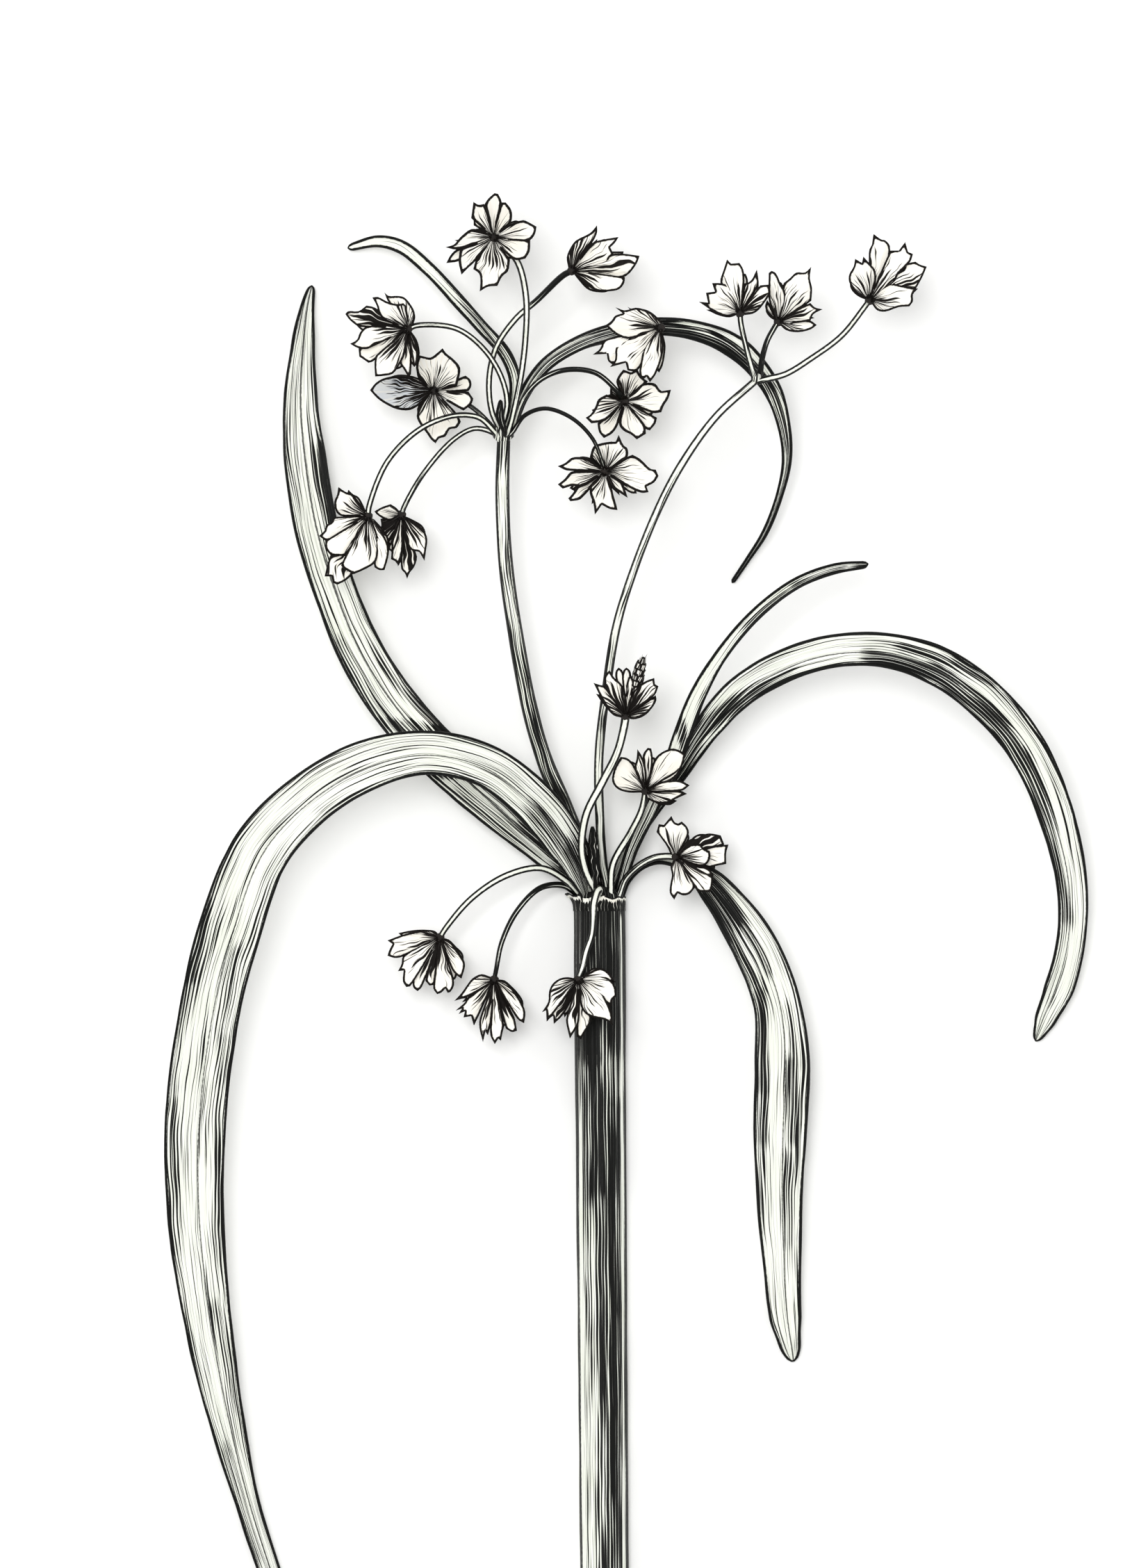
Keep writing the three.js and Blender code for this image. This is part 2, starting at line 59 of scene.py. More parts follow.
# Bracts, from base to tip. Each station is x, y, z and the width there, and where a base is folded
# together, its thickness.
BLADES = {
    "bract_long_left": [
        [-1.9, 0.5, 5.0, 2.0], [-3.0, 4.2, 6.4, 4.2], [-5.2, 8.4, 8.2, 5.8], [-10.0, 14.3, 11.6, 6.2],
        [-16.6, 19.2, 14.4, 6.0], [-24.9, 21.0, 16.4, 6.2], [-33.3, 19.3, 17.4, 7.2],
        [-41.5, 14.6, 17.4, 7.6], [-48.6, 7.2, 16.4, 8.4], [-53.4, -5.0, 14.2, 9.0],
        [-56.2, -16.4, 11.8, 8.7], [-58.2, -31.5, 8.8, 8.8], [-58.2, -46.5, 6.4, 8.0],
        [-56.2, -63.0, 4.2, 6.6], [-53.9, -75.0, 2.6, 5.1], [-50.9, -87.0, 1.3, 3.5],
        [-47.2, -98.5, 0.6, 3.2], [-43.7, -108.0, 0.4, 2.3], [-41.2, -114.5, 0.35, 0.8],
    ],
    "bract_upper_left": [
        [-1.2, 0.5, 0.9, 2.0], [-3.6, 3.2, 1.3, 3.2], [-7.2, 6.4, 2.2, 4.6], [-14.0, 12.4, 3.6, 6.0],
        [-21.4, 19.0, 4.8, 6.7], [-28.5, 26.4, 5.4, 6.9], [-34.1, 34.7, 5.4, 6.6], [-38.0, 43.8, 5.0, 6.0],
        [-40.9, 53.4, 4.4, 6.2], [-42.5, 63.0, 3.8, 6.0], [-43.2, 71.4, 3.2, 4.9], [-42.8, 80.3, 2.4, 3.2],
        [-42.2, 85.6, 1.2, 1.9], [-41.6, 88.4, 0.6, 0.9],
    ],
    "bract_arching_right": [
        [1.4, 0.5, 1.6, 1.7], [4.1, 7.6, 3.0, 2.0], [7.5, 13.0, 4.6, 2.4], [11.2, 18.4, 6.6, 3.0],
        [14.7, 23.7, 8.6, 3.7], [19.7, 29.4, 11.0, 4.4], [25.8, 33.2, 13.0, 4.6], [32.4, 35.4, 14.4, 4.6],
        [40.0, 35.8, 15.0, 4.8], [47.5, 33.9, 14.6, 5.6], [54.7, 29.2, 13.2, 5.8], [61.2, 21.8, 10.8, 5.6],
        [65.3, 12.8, 8.2, 5.2], [67.8, 3.0, 5.6, 4.4], [67.9, -5.5, 3.6, 4.1], [66.4, -12.2, 1.9, 4.2],
        [64.2, -17.4, 0.8, 3.0], [62.8, -20.6, 0.4, 1.2],
    ],
    "bract_short_right": [
        [2.5, 0.5, 2.8, 1.3], [4.6, 7.2, 4.9, 1.7], [7.3, 13.0, 6.6, 2.1], [9.9, 18.2, 8.0, 2.4],
        [11.6, 23.0, 9.2, 2.6], [13.9, 29.0, 10.7, 2.4], [17.0, 34.5, 12.0, 1.9], [22.0, 40.6, 13.0, 1.7],
        [28.1, 45.3, 13.2, 1.6], [33.6, 47.4, 12.4, 1.5], [38.5, 48.1, 11.0, 1.0],
    ],
    "bract_lower_right": [
        [2.9, 0.5, 1.3, 1.0, 1.2], [3.9, 2.7, 2.3, 0.9, 1.6], [5.8, 4.6, 3.2, 0.9, 1.6],
        [8.2, 5.6, 3.9, 1.1, 1.4], [11.0, 5.4, 4.4, 1.8, 0.9], [13.4, 4.2, 4.7, 3.0], [15.9, 2.0, 4.9, 4.3],
        [19.0, -1.8, 5.3, 5.6], [22.6, -7.6, 5.5, 6.6], [25.4, -15.0, 5.3, 6.8], [26.2, -24.0, 4.8, 7.8],
        [25.9, -33.0, 4.1, 7.6], [25.8, -42.0, 3.3, 6.7], [26.1, -51.0, 2.4, 5.6], [26.7, -60.5, 1.1, 4.5],
        [27.8, -66.8, 0.4, 2.0],
    ],
    "umbel_bract_left": [
        [-13.9, 67.0, 10.5, 1.0], [-12.6, 70.8, 10.1, 1.4], [-12.3, 74.6, 9.8, 1.6],
        [-13.6, 78.2, 9.4, 1.7], [-17.2, 82.4, 8.6, 1.8], [-20.8, 86.4, 7.6, 1.9], [-24.7, 90.6, 6.2, 1.9],
        [-28.6, 93.8, 4.7, 1.9], [-32.0, 94.7, 3.0, 1.7], [-36.4, 93.8, 0.7, 1.0],
    ],
    "umbel_bract_arching": [
        [-13.0, 67.0, 10.9, 1.0], [-11.0, 72.4, 11.4, 1.5], [-8.0, 76.6, 12.2, 1.9],
        [-3.5, 79.6, 13.0, 2.1], [2.4, 81.6, 13.4, 2.3], [9.6, 82.2, 13.3, 2.5], [15.8, 81.0, 12.5, 2.9],
        [19.6, 79.1, 11.6, 3.3], [22.4, 76.5, 10.7, 2.9], [25.0, 72.6, 9.4, 2.5], [26.5, 67.5, 7.9, 1.8],
        [26.8, 62.9, 6.7, 1.3], [25.7, 57.8, 5.1, 1.0], [23.7, 52.7, 3.4, 0.9], [21.3, 48.9, 1.5, 0.7],
        [19.0, 45.5, 0.4, 0.6],
    ],
    "umbel_bractlet": [
        [-13.8, 67.2, 14.5, 0.7], [-14.4, 69.2, 15.4, 1.1], [-14.3, 71.6, 16.2, 0.5],
    ],
}

# Rays, from base to tip: the radius at each end, and the stations as x, y and z.
RAYS = {
    "umbel_stem": [1.25, 0.95, [
        [-0.9, 0.5, 3.1], [-2.6, 6.6, 4.2], [-5.1, 13.0, 5.6], [-8.0, 19.8, 7.1], [-10.1, 27.0, 8.4],
        [-12.2, 38.0, 10.0], [-13.6, 48.0, 11.0], [-14.1, 58.0, 11.6], [-13.9, 66.5, 11.9],
    ]],
    "ray_tall": [0.7, 0.55, [
        [1.0, 0.5, 3.1], [0.4, 4.6, 4.4], [-0.1, 12.0, 6.2], [-0.2, 20.5, 8.2], [0.9, 30.5, 10.6],
        [2.4, 39.5, 12.6], [5.0, 47.8, 14.6], [8.4, 56.2, 16.6], [11.8, 62.6, 18.2], [16.6, 69.2, 19.6],
        [22.1, 74.2, 20.6],
    ]],
    "ray_upright": [0.55, 0.6, [
        [-0.3, 0.5, 5.7], [-2.0, 3.8, 7.6], [-2.7, 7.4, 9.6], [-2.0, 12.2, 12.0], [0.2, 16.6, 13.8],
        [2.4, 21.0, 15.6], [3.4, 24.8, 16.9],
    ]],
    "ray_leaning": [0.5, 0.5, [
        [1.5, 0.5, 4.8], [1.8, 4.9, 6.4], [4.3, 9.4, 8.2], [5.8, 12.4, 9.5], [6.3, 14.2, 10.3],
    ]],
    "ray_side": [0.5, 0.5, [
        [2.7, 0.5, 3.8], [3.6, 2.8, 4.9], [5.6, 4.8, 6.0], [7.8, 5.9, 7.0], [9.7, 6.1, 7.8],
    ]],
    "ray_drooping_left": [0.5, 0.42, [
        [-2.9, 0.5, 2.8], [-5.0, 2.6, 4.3], [-8.6, 4.4, 6.0], [-13.6, 3.3, 7.3], [-18.6, 0.0, 7.6],
        [-22.3, -4.3, 7.1],
    ]],
    "ray_drooping_middle": [0.48, 0.32, [
        [-3.1, 0.5, 1.3], [-5.4, 1.9, 3.3], [-8.7, 1.5, 4.9], [-12.0, -1.8, 5.8], [-14.2, -6.3, 6.0],
        [-15.0, -10.2, 6.0],
    ]],
    "ray_drooping_front": [0.54, 0.5, [
        [-0.2, 0.9, 5.7], [-0.3, 1.2, 7.1], [-0.6, 0.7, 8.2], [-0.95, -0.7, 8.8], [-1.05, -2.8, 9.0],
        [-1.2, -5.2, 8.9], [-2.0, -7.5, 8.9], [-2.6, -10.0, 9.2],
    ]],
    "ray_top": [0.42, 0.5, [
        [-13.3, 67.0, 13.2], [-11.7, 73.5, 15.0], [-10.8, 80.0, 16.4], [-10.7, 86.5, 17.2],
        [-11.9, 91.4, 17.1], [-14.0, 93.8, 16.9],
    ]],
    "ray_top_right": [0.42, 0.45, [
        [-14.2, 67.0, 12.1], [-15.6, 70.0, 11.9], [-16.0, 74.6, 11.8], [-15.0, 79.2, 12.0],
        [-12.2, 83.3, 12.6], [-9.1, 86.0, 13.2], [-5.4, 89.5, 13.9],
    ]],
    "ray_left": [0.4, 0.42, [
        [-14.3, 67.0, 13.3], [-13.4, 71.2, 14.3], [-14.4, 75.3, 15.1], [-17.0, 79.2, 15.8],
        [-20.8, 81.9, 16.4], [-26.3, 82.3, 16.8],
    ]],
    "ray_inner_left": [0.34, 0.34, [
        [-14.8, 67.0, 10.9], [-17.5, 69.9, 9.8], [-20.3, 71.8, 8.8], [-22.6, 72.6, 8.0],
    ]],
    "ray_low_left": [0.4, 0.42, [
        [-15.1, 67.0, 12.7], [-17.4, 69.1, 13.4], [-21.0, 69.4, 14.1], [-26.0, 67.4, 14.5],
        [-30.6, 62.8, 14.4], [-33.2, 56.5, 14.0],
    ]],
    "ray_low_left_inner": [0.38, 0.38, [
        [-15.2, 66.9, 11.5], [-18.0, 67.6, 11.5], [-21.0, 66.1, 11.4], [-25.4, 61.2, 10.8],
        [-28.2, 56.4, 9.9],
    ]],
    "ray_right_upper": [0.36, 0.36, [
        [-13.2, 67.0, 9.7], [-11.0, 71.8, 9.4], [-8.0, 75.9, 9.7], [-3.5, 78.9, 10.4], [1.5, 80.2, 11.2],
        [5.6, 79.9, 12.4], [8.2, 81.0, 14.6],
    ]],
    "ray_right_middle": [0.38, 0.38, [
        [-12.9, 67.0, 12.1], [-11.0, 71.9, 12.9], [-8.4, 74.7, 13.4], [-4.8, 76.0, 13.6],
        [-0.6, 75.5, 13.4], [2.5, 72.8, 13.0],
    ]],
    "ray_right_lower": [0.32, 0.28, [
        [-12.7, 67.0, 13.1], [-10.9, 69.4, 14.2], [-7.9, 70.4, 15.2], [-4.1, 69.0, 15.9],
        [-1.1, 66.0, 15.9], [0.3, 62.6, 15.1],
    ]],
    "ray_tall_left": [0.42, 0.4, [
        [22.0, 75.1, 21.0], [21.2, 77.8, 21.2], [20.6, 80.2, 21.2], [20.1, 82.6, 21.1],
    ]],
    "ray_tall_middle": [0.4, 0.4, [
        [22.8, 75.1, 20.2], [23.2, 77.6, 19.7], [23.9, 80.0, 19.3], [24.8, 81.7, 19.0],
    ]],
    "ray_tall_right": [0.45, 0.42, [
        [23.1, 74.4, 20.9], [26.4, 75.2, 20.4], [30.2, 77.5, 19.4], [34.6, 80.8, 17.9], [37.8, 84.8, 16.6],
    ]],
}

# Spikelet clusters: where the scales meet, and for each scale its rise in degrees, how much darker than the
# rest it is, and its outline's corners as seen from above, clockwise from one side of its base to the
# other. A corner is its x and y from that middle, in tenths of a millimetre.
CLUSTERS = {
    "cluster_top": [(-15.3, 94.9, 18.2), [
        (20, 0.1, [-14, 11, -32, 27, -29, 50, -22, 46, -14, 47, -8, 33, -3, 9]),
        (8, 0.0, [-6, 25, -13, 47, -8, 55, 1, 63, 6, 62, 11, 50, 5, 29]),
        (26, 0.0, [2, 22, 11, 49, 17, 49, 24, 40, 26, 31, 23, 19, 9, 10]),
        (12, 0.0, [7, 9, 20, 17, 42, 24, 50, 21, 61, 15, 59, 5, 52, -4, 30, -8]),
        (28, 0.1, [22, -4, 52, -5, 51, -21, 45, -31, 32, -33, 23, -28, 10, -16]),
        (16, 0.0, [
            10, -16, 23, -33, 20, -49, 12, -56, 5, -70, -8, -71, -20, -78, -19, -60, -21, -52, -29, -46,
            -24, -29, -12, -13,
        ]),
        (22, 0.25, [-13, -15, -32, -40, -40, -42, -46, -54, -50, -36, -48, -17, -18, -6]),
        (6, 0.0, [-30, -20, -50, -34, -68, -37, -62, -26, -54, -18, -32, -9]),
        (26, 0.0, [-26, -8, -52, -18, -69, -15, -57, -11, -50, -3, -45, 2, -32, 11, -20, 10, -7, 5]),
    ]],
    "cluster_top_right": [(-4.1, 90.2, 14.2), [
        (26, 0.45, [-5, 5, -7, 19, -2, 32, 6, 43, 26, 53, 36, 64, 36, 55, 31, 43, 13, 18]),
        (14, 0.05, [10, 16, 31, 40, 44, 44, 67, 48, 62, 40, 55, 33, 60, 23, 54, 19, 51, 10, 22, 2]),
        (8, 0.2, [32, 9, 53, 17, 58, 23, 72, 24, 97, 21, 93, 10, 77, -8, 56, -10, 26, -4]),
        (22, 0.0, [26, -4, 55, -10, 76, -10, 75, -18, 68, -27, 55, -30, 36, -29, 22, -21, 10, -7]),
    ]],
    "cluster_left": [(-27.6, 81.8, 17.0), [
        (12, 0.0, [-15, 22, -29, 40, -34, 52, -28, 47, -15, 47, -6, 45, 3, 35, 9, 23, 8, 9]),
        (26, 0.0, [-15, 4, -34, 13, -41, 20, -45, 33, -51, 44, -43, 45, -31, 39, -16, 35, -4, 37, 1, 12]),
        (6, 0.75, [-28, 2, -50, 6, -69, 3, -83, 12, -90, 21, -86, 25, -71, 25, -60, 33, -48, 30, -30, 13]),
        (18, 0.0, [-24, -12, -47, -22, -58, -29, -72, -28, -83, -22, -73, -16, -69, -6, -59, 3, -34, 3]),
        (8, 0.0, [-20, -18, -47, -42, -51, -47, -57, -49, -64, -44, -70, -40, -71, -29, -34, -13]),
        (24, 0.1, [
            -3, -12, -5, -36, -12, -51, -22, -65, -34, -68, -47, -69, -48, -51, -46, -39, -34, -31, -17, -13,
        ]),
        (8, 0.15, [3, -18, 5, -40, 4, -66, 0, -69, -7, -57, -12, -48, -4, -20]),
        (16, 0.8, [5, -6, 12, -22, 14, -42, 12, -52, 8, -54, 5, -36, 1, -12]),
    ]],
    "cluster_inner_left": [(-24.0, 73.1, 8.8), [
        (16, 0.4, [
            -9, -6, -20, -20, -34, -28, -52, -27, -68, -20, -81, -11, -91, 0, -82, 11, -68, 18, -46, 20,
            -26, 16, -10, 6,
        ]),
        (22, 0.0, [
            -11, 7, -24, 26, -24, 42, -20, 50, -12, 48, -4, 47, 6, 54, 13, 60, 18, 53, 29, 44, 38, 32, 36,
            16, 33, 5, 14, 1,
        ]),
        (8, -0.1, [18, 5, 37, 15, 46, 21, 53, 15, 54, 6, 50, -1, 22, -3]),
        (14, 0.0, [20, 0, 50, -2, 57, -12, 54, -20, 43, -29, 20, -16]),
        (6, 0.0, [
            14, -12, 34, -34, 39, -45, 33, -54, 23, -56, 17, -66, 8, -69, 3, -76, -3, -71, -10, -61, -19,
            -49, -24, -37, -18, -20, -8, -6,
        ]),
    ]],
    "cluster_low_left": [(-33.4, 55.0, 14.0), [
        (24, 0.0, [-12, 1, -38, 0, -46, 7, -48, 20, -44, 30, -42, 41, -32, 34, -23, 31, -13, 20, -5, 8]),
        (14, 0.0, [-20, -16, -46, -32, -61, -36, -70, -29, -62, -21, -60, -14, -52, -9, -50, -2, -22, -2]),
        (20, 0.0, [-7, -16, -12, -39, -22, -44, -32, -58, -53, -57, -60, -48, -61, -36, -40, -28, -16, -11]),
        (3, 0.9, [
            -15, -30, -26, -78, -24, -86, -32, -93, -44, -99, -50, -96, -52, -87, -62, -87, -58, -70, -52,
            -54, -22, -22,
        ]),
        (26, 0.0, [
            6, -7, 14, -30, 14, -56, 10, -68, -6, -78, -20, -84, -31, -78, -38, -72, -33, -60, -22, -44,
            -10, -38, -4, -10,
        ]),
        (12, 0.1, [10, -8, 24, -30, 30, -46, 29, -60, 24, -78, 17, -78, 10, -74, 13, -55, 9, -18]),
    ]],
    "cluster_low_left_inner": [(-28.6, 55.2, 9.6), [
        (16, 0.1, [-8, -3, -15, -8, -25, -6, -36, 1, -39, 5, -28, 11, -16, 15, -8, 10, -2, 3]),
        (2, 1.4, [-6, -12, -15, -44, -19, -42, -26, -30, -33, -25, -29, -16, -30, -6, -13, -3]),
        (18, 0.35, [2, -15, 2, -48, -2, -66, -5, -72, -9, -67, -15, -64, -14, -50, -13, -32, -4, -10]),
        (6, 0.7, [8, -22, 17, -50, 22, -60, 18, -75, 12, -83, 8, -92, 5, -84, 0, -78, 0, -62, 3, -34]),
        (24, 0.4, [6, -4, 22, -14, 33, -24, 37, -36, 35, -54, 33, -66, 26, -54, 17, -52, 10, -46, 3, -15]),
    ]],
    "cluster_right_upper": [(8.6, 82.0, 15.9), [
        (24, 0.0, [
            -20, -10, -48, -16, -64, -10, -79, 2, -70, 9, -65, 16, -54, 20, -64, 28, -52, 24, -36, 28, -22,
            25, -8, 17, 2, 8,
        ]),
        (4, 0.15, [
            -36, -21, -63, -34, -64, -48, -69, -53, -75, -48, -77, -38, -97, -39, -87, -31, -81, -19, -72,
            -15, -36, -11,
        ]),
        (14, 0.05, [
            -11, -12, -25, -36, -30, -58, -37, -63, -47, -62, -50, -51, -61, -54, -72, -57, -65, -46, -64,
            -30, -54, -19, -22, -8,
        ]),
        (22, 0.0, [
            0, -8, 4, -28, 1, -46, -7, -68, -15, -79, -20, -71, -25, -75, -30, -69, -28, -50, -22, -26, -8,
            -8,
        ]),
    ]],
    "cluster_right_middle": [(3.5, 71.5, 12.4), [
        (22, 0.0, [
            8, 9, 24, 24, 34, 26, 44, 24, 50, 16, 58, 11, 66, 16, 62, 3, 56, -6, 52, -16, 39, -17, 14, -4,
        ]),
        (10, 0.0, [11, -4, 32, -17, 46, -24, 44, -32, 36, -42, 29, -39, 10, -13]),
        (20, 0.0, [7, -9, 24, -28, 29, -36, 30, -47, 17, -55, 9, -48, -2, -42, -8, -33, -3, -10]),
        (8, 0.1, [-5, -11, -10, -34, -18, -46, -30, -53, -37, -44, -39, -32, -12, -10]),
        (22, 0.0, [-10, -9, -28, -28, -48, -32, -56, -24, -49, -19, -42, -8, -38, 2, -26, 9, -9, 3]),
        (6, 0.3, [-9, 5, -21, 9, -21, 23, -14, 16, -4, 9]),
        (10, 0.35, [-4, 9, -12, 27, -9, 36, -2, 45, 9, 41, 18, 46, 23, 36, 33, 28, 22, 20, 7, 7]),
    ]],
    "cluster_right_lower": [(0.7, 61.4, 14.2), [
        (14, 0.0, [
            -8, 7, -22, 20, -17, 35, -9, 39, 6, 42, 16, 42, 19, 52, 26, 37, 31, 33, 32, 22, 25, 13, 7, 4,
        ]),
        (18, 0.0, [
            8, 4, 29, 19, 39, 23, 50, 17, 65, 3, 72, 2, 76, -7, 70, -16, 59, -22, 62, -30, 52, -31, 32, -22,
            10, -7,
        ]),
        (8, 0.1, [9, -7, 24, -16, 28, -26, 32, -38, 20, -30, 12, -24, 4, -9]),
        (20, 0.0, [
            3, -10, 10, -27, 13, -48, 17, -56, 6, -54, -5, -48, -11, -57, -15, -62, -17, -46, -22, -32, -22,
            -20, -7, -8,
        ]),
        (8, 0.0, [-9, -9, -28, -30, -36, -40, -50, -43, -53, -39, -46, -31, -40, -22, -14, -8]),
        (14, 0.0, [-12, -8, -34, -22, -52, -20, -61, -25, -68, -19, -58, -11, -49, -1, -30, 0, -9, 0]),
        (22, 0.0, [-9, -1, -34, 1, -55, 1, -68, 7, -57, 12, -48, 19, -36, 20, -26, 18, -8, 5]),
    ]],
    "cluster_tall_left": [(20.0, 84.0, 21.2), [
        (22, 0.0, [
            -8, -3, -20, -5, -36, 1, -59, 15, -46, 14, -49, 28, -36, 30, -40, 42, -28, 42, -14, 37, -7, 28,
            -3, 9,
        ]),
        (12, 0.0, [-8, 14, -28, 43, -24, 60, -19, 76, -13, 70, -1, 71, 4, 62, 6, 46, 3, 12]),
        (6, 0.1, [3, 13, 6, 42, 13, 44, 20, 52, 24, 62, 26, 48, 26, 40, 10, 13]),
        (20, 0.3, [9, 10, 25, 30, 29, 39, 41, 40, 43, 28, 36, 16, 26, 4, 18, -1, 7, -3]),
    ]],
    "cluster_tall_middle": [(25.5, 82.8, 18.8), [
        (8, 0.5, [-4, 2, -14, 11, -19, 22, -16, 31, -13, 24, -4, 8]),
        (20, 0.0, [-4, 8, -13, 28, -14, 46, -14, 69, -10, 72, -4, 69, 3, 54, 9, 43, 10, 28, 3, 8]),
        (12, 0.1, [
            5, 14, 9, 44, 8, 55, 17, 62, 26, 70, 38, 70, 47, 78, 45, 62, 48, 48, 47, 30, 34, 20, 9, 5,
        ]),
        (22, 0.0, [8, 3, 28, 18, 46, 26, 52, 20, 63, 17, 50, 10, 46, 1, 19, -3]),
        (10, 0.15, [8, 1, 30, 2, 46, 1, 55, -5, 47, -11, 28, -15, 11, -12, 3, -5]),
    ]],
    "cluster_tall_right": [(38.6, 85.9, 16.4), [
        (24, 0.1, [
            -5, 2, -19, 11, -29, 26, -29, 37, -23, 48, -21, 59, -11, 53, -9, 62, 1, 51, 7, 44, 9, 28, 2, 5,
        ]),
        (5, 0.0, [3, 16, 0, 53, 0, 73, 8, 83, 6, 95, 17, 87, 22, 86, 29, 78, 26, 50, 11, 15]),
        (12, 0.0, [10, 16, 23, 48, 30, 71, 42, 71, 51, 83, 55, 69, 62, 66, 58, 55, 42, 44, 36, 26, 14, 12]),
        (7, 0.5, [18, 14, 39, 34, 48, 50, 66, 55, 72, 51, 82, 48, 76, 34, 66, 16, 44, 21, 18, 10]),
        (22, 0.0, [
            5, 6, 18, 18, 30, 24, 44, 21, 69, 16, 62, 8, 62, -2, 57, -9, 42, -10, 23, -16, 11, -14, 4, -5,
        ]),
    ]],
    "cluster_upright": [(3.6, 26.2, 17.4), [
        (16, 0.1, [-7, -1, -20, 5, -30, 18, -39, 34, -46, 48, -37, 45, -30, 43, -20, 29, -4, 6]),
        (24, 0.45, [-6, 8, -29, 42, -30, 58, -23, 66, -16, 55, -8, 48, -1, 36, 1, 10]),
        (10, 0.3, [-5, 32, -14, 54, -14, 65, -10, 70, -5, 66, -1, 50, 0, 34]),
        (12, 0.3, [0, 32, -5, 54, -3, 66, 1, 70, 6, 66, 8, 56, 5, 34]),
        (16, 0.4, [1, 30, 1, 44, 4, 56, 9, 58, 12, 48, 8, 32]),
        (4, 0.2, [10, 38, 12, 58, 13, 72, 18, 82, 22, 76, 21, 62, 15, 42]),
        (22, 0.5, [3, 8, 8, 30, 18, 43, 30, 51, 41, 55, 42, 46, 47, 43, 42, 31, 26, 20, 7, 5]),
        (10, 0.3, [9, 6, 28, 20, 43, 30, 44, 23, 38, 12, 28, 3, 14, -3, 5, -3]),
    ]],
    "cluster_leaning": [(6.5, 15.5, 10.9), [
        (8, 0.0, [-6, -2, -24, -2, -40, 3, -48, 14, -46, 30, -36, 49, -27, 47, -18, 39, -14, 30, -4, 6]),
        (22, 0.35, [-5, 8, -16, 33, -13, 46, -12, 60, -6, 51, -2, 40, 1, 26, 1, 8]),
        (12, 0.0, [0, 14, -4, 44, -3, 54, 3, 62, 8, 61, 10, 48, 8, 26, 3, 10]),
        (14, 0.0, [4, 8, 9, 34, 15, 48, 26, 57, 40, 61, 57, 54, 54, 40, 46, 24, 34, 14, 9, 5]),
        (24, 0.0, [6, 4, 19, 12, 36, 15, 50, 15, 63, 8, 53, 1, 30, -1, 7, -2]),
        (14, 0.1, [6, -2, 30, -2, 50, 0, 59, -4, 44, -11, 32, -17, 16, -17, 4, -12]),
        (3, 1.4, [14, -10, 32, -15, 45, -14, 36, -20, 24, -19, 8, -11]),
    ]],
    "cluster_side": [(10.9, 6.0, 8.4), [
        (18, 0.0, [
            -8, 4, -18, 26, -28, 36, -25, 47, -18, 46, -7, 59, -2, 50, 3, 48, 8, 51, 15, 44, 18, 36, 15, 26,
            4, 6,
        ]),
        (10, 0.9, [6, 7, 13, 20, 22, 26, 30, 26, 37, 31, 48, 34, 64, 31, 69, 18, 46, 14, 17, 6]),
        (5, 0.25, [22, 7, 48, 15, 75, 18, 72, 6, 72, -10, 56, -13, 48, -15, 22, -5]),
        (26, 0.2, [6, 4, 16, 16, 35, 19, 40, 12, 48, 9, 49, 0, 45, -9, 36, -13, 20, -9, 7, -3]),
        (12, 0.3, [12, -7, 36, -13, 48, -18, 55, -28, 46, -27, 32, -23, 12, -11]),
        (18, 0.3, [10, -8, 34, -22, 53, -29, 52, -42, 49, -50, 32, -50, 28, -40, 23, -28, 8, -10]),
        (22, 0.0, [
            4, -6, 22, -27, 27, -44, 19, -53, 10, -55, 2, -52, -3, -61, -9, -52, -8, -38, -6, -26, -8, -14,
            -4, -5,
        ]),
    ]],
    "cluster_drooping_left": [(-23.1, -5.6, 6.8), [
        (14, 0.1, [
            -14, -4, -42, -17, -54, -27, -66, -29, -75, -26, -73, -19, -68, -9, -75, -4, -59, 2, -42, 7,
            -24, 10, -10, 10, -3, 4,
        ]),
        (18, 0.1, [
            -13, -19, -32, -44, -40, -62, -43, -70, -48, -71, -53, -63, -52, -47, -60, -48, -55, -38, -53,
            -27, -26, -10,
        ]),
        (10, 0.1, [-7, -19, -20, -42, -22, -58, -26, -71, -32, -77, -38, -72, -39, -60, -34, -42, -13, -15]),
        (14, 0.5, [1, -18, -6, -52, -8, -68, -15, -69, -21, -62, -17, -52, -10, -36, -2, -14]),
        (22, 0.1, [
            4, -7, 13, -38, 19, -56, 20, -69, 15, -78, 11, -79, 8, -73, 2, -79, -4, -81, -9, -73, -7, -56,
            -1, -24, 0, -8,
        ]),
        (16, 0.15, [4, -1, 15, -6, 26, -21, 35, -34, 36, -42, 31, -59, 23, -53, 17, -45, 11, -26, 3, -7]),
    ]],
    "cluster_drooping_middle": [(-15.3, -11.7, 6.0), [
        (20, 0.0, [-9, -8, -34, -22, -44, -26, -57, -30, -47, -19, -40, -9, -31, 2, -18, 8, -5, 4]),
        (12, 0.3, [
            -5, -10, -19, -44, -29, -65, -33, -52, -44, -54, -42, -45, -51, -49, -46, -41, -55, -44, -43,
            -34, -37, -24, -13, -9,
        ]),
        (14, 0.3, [-1, -28, -4, -60, -9, -79, -13, -73, -16, -89, -20, -74, -21, -60, -17, -46, -5, -20]),
        (20, 0.1, [3, -20, 9, -48, 14, -65, 12, -76, 10, -87, 6, -84, 1, -92, -5, -80, -5, -62, -2, -30]),
        (8, 0.6, [4, -9, 20, -39, 29, -54, 33, -73, 26, -75, 17, -70, 16, -54, 9, -34, 2, -12]),
        (22, 0.2, [4, 1, 18, -4, 28, -15, 38, -30, 45, -46, 43, -62, 34, -56, 32, -44, 22, -26, 4, -7]),
    ]],
    "cluster_drooping_front": [(-3.2, -11.6, 9.4), [
        (18, 0.15, [
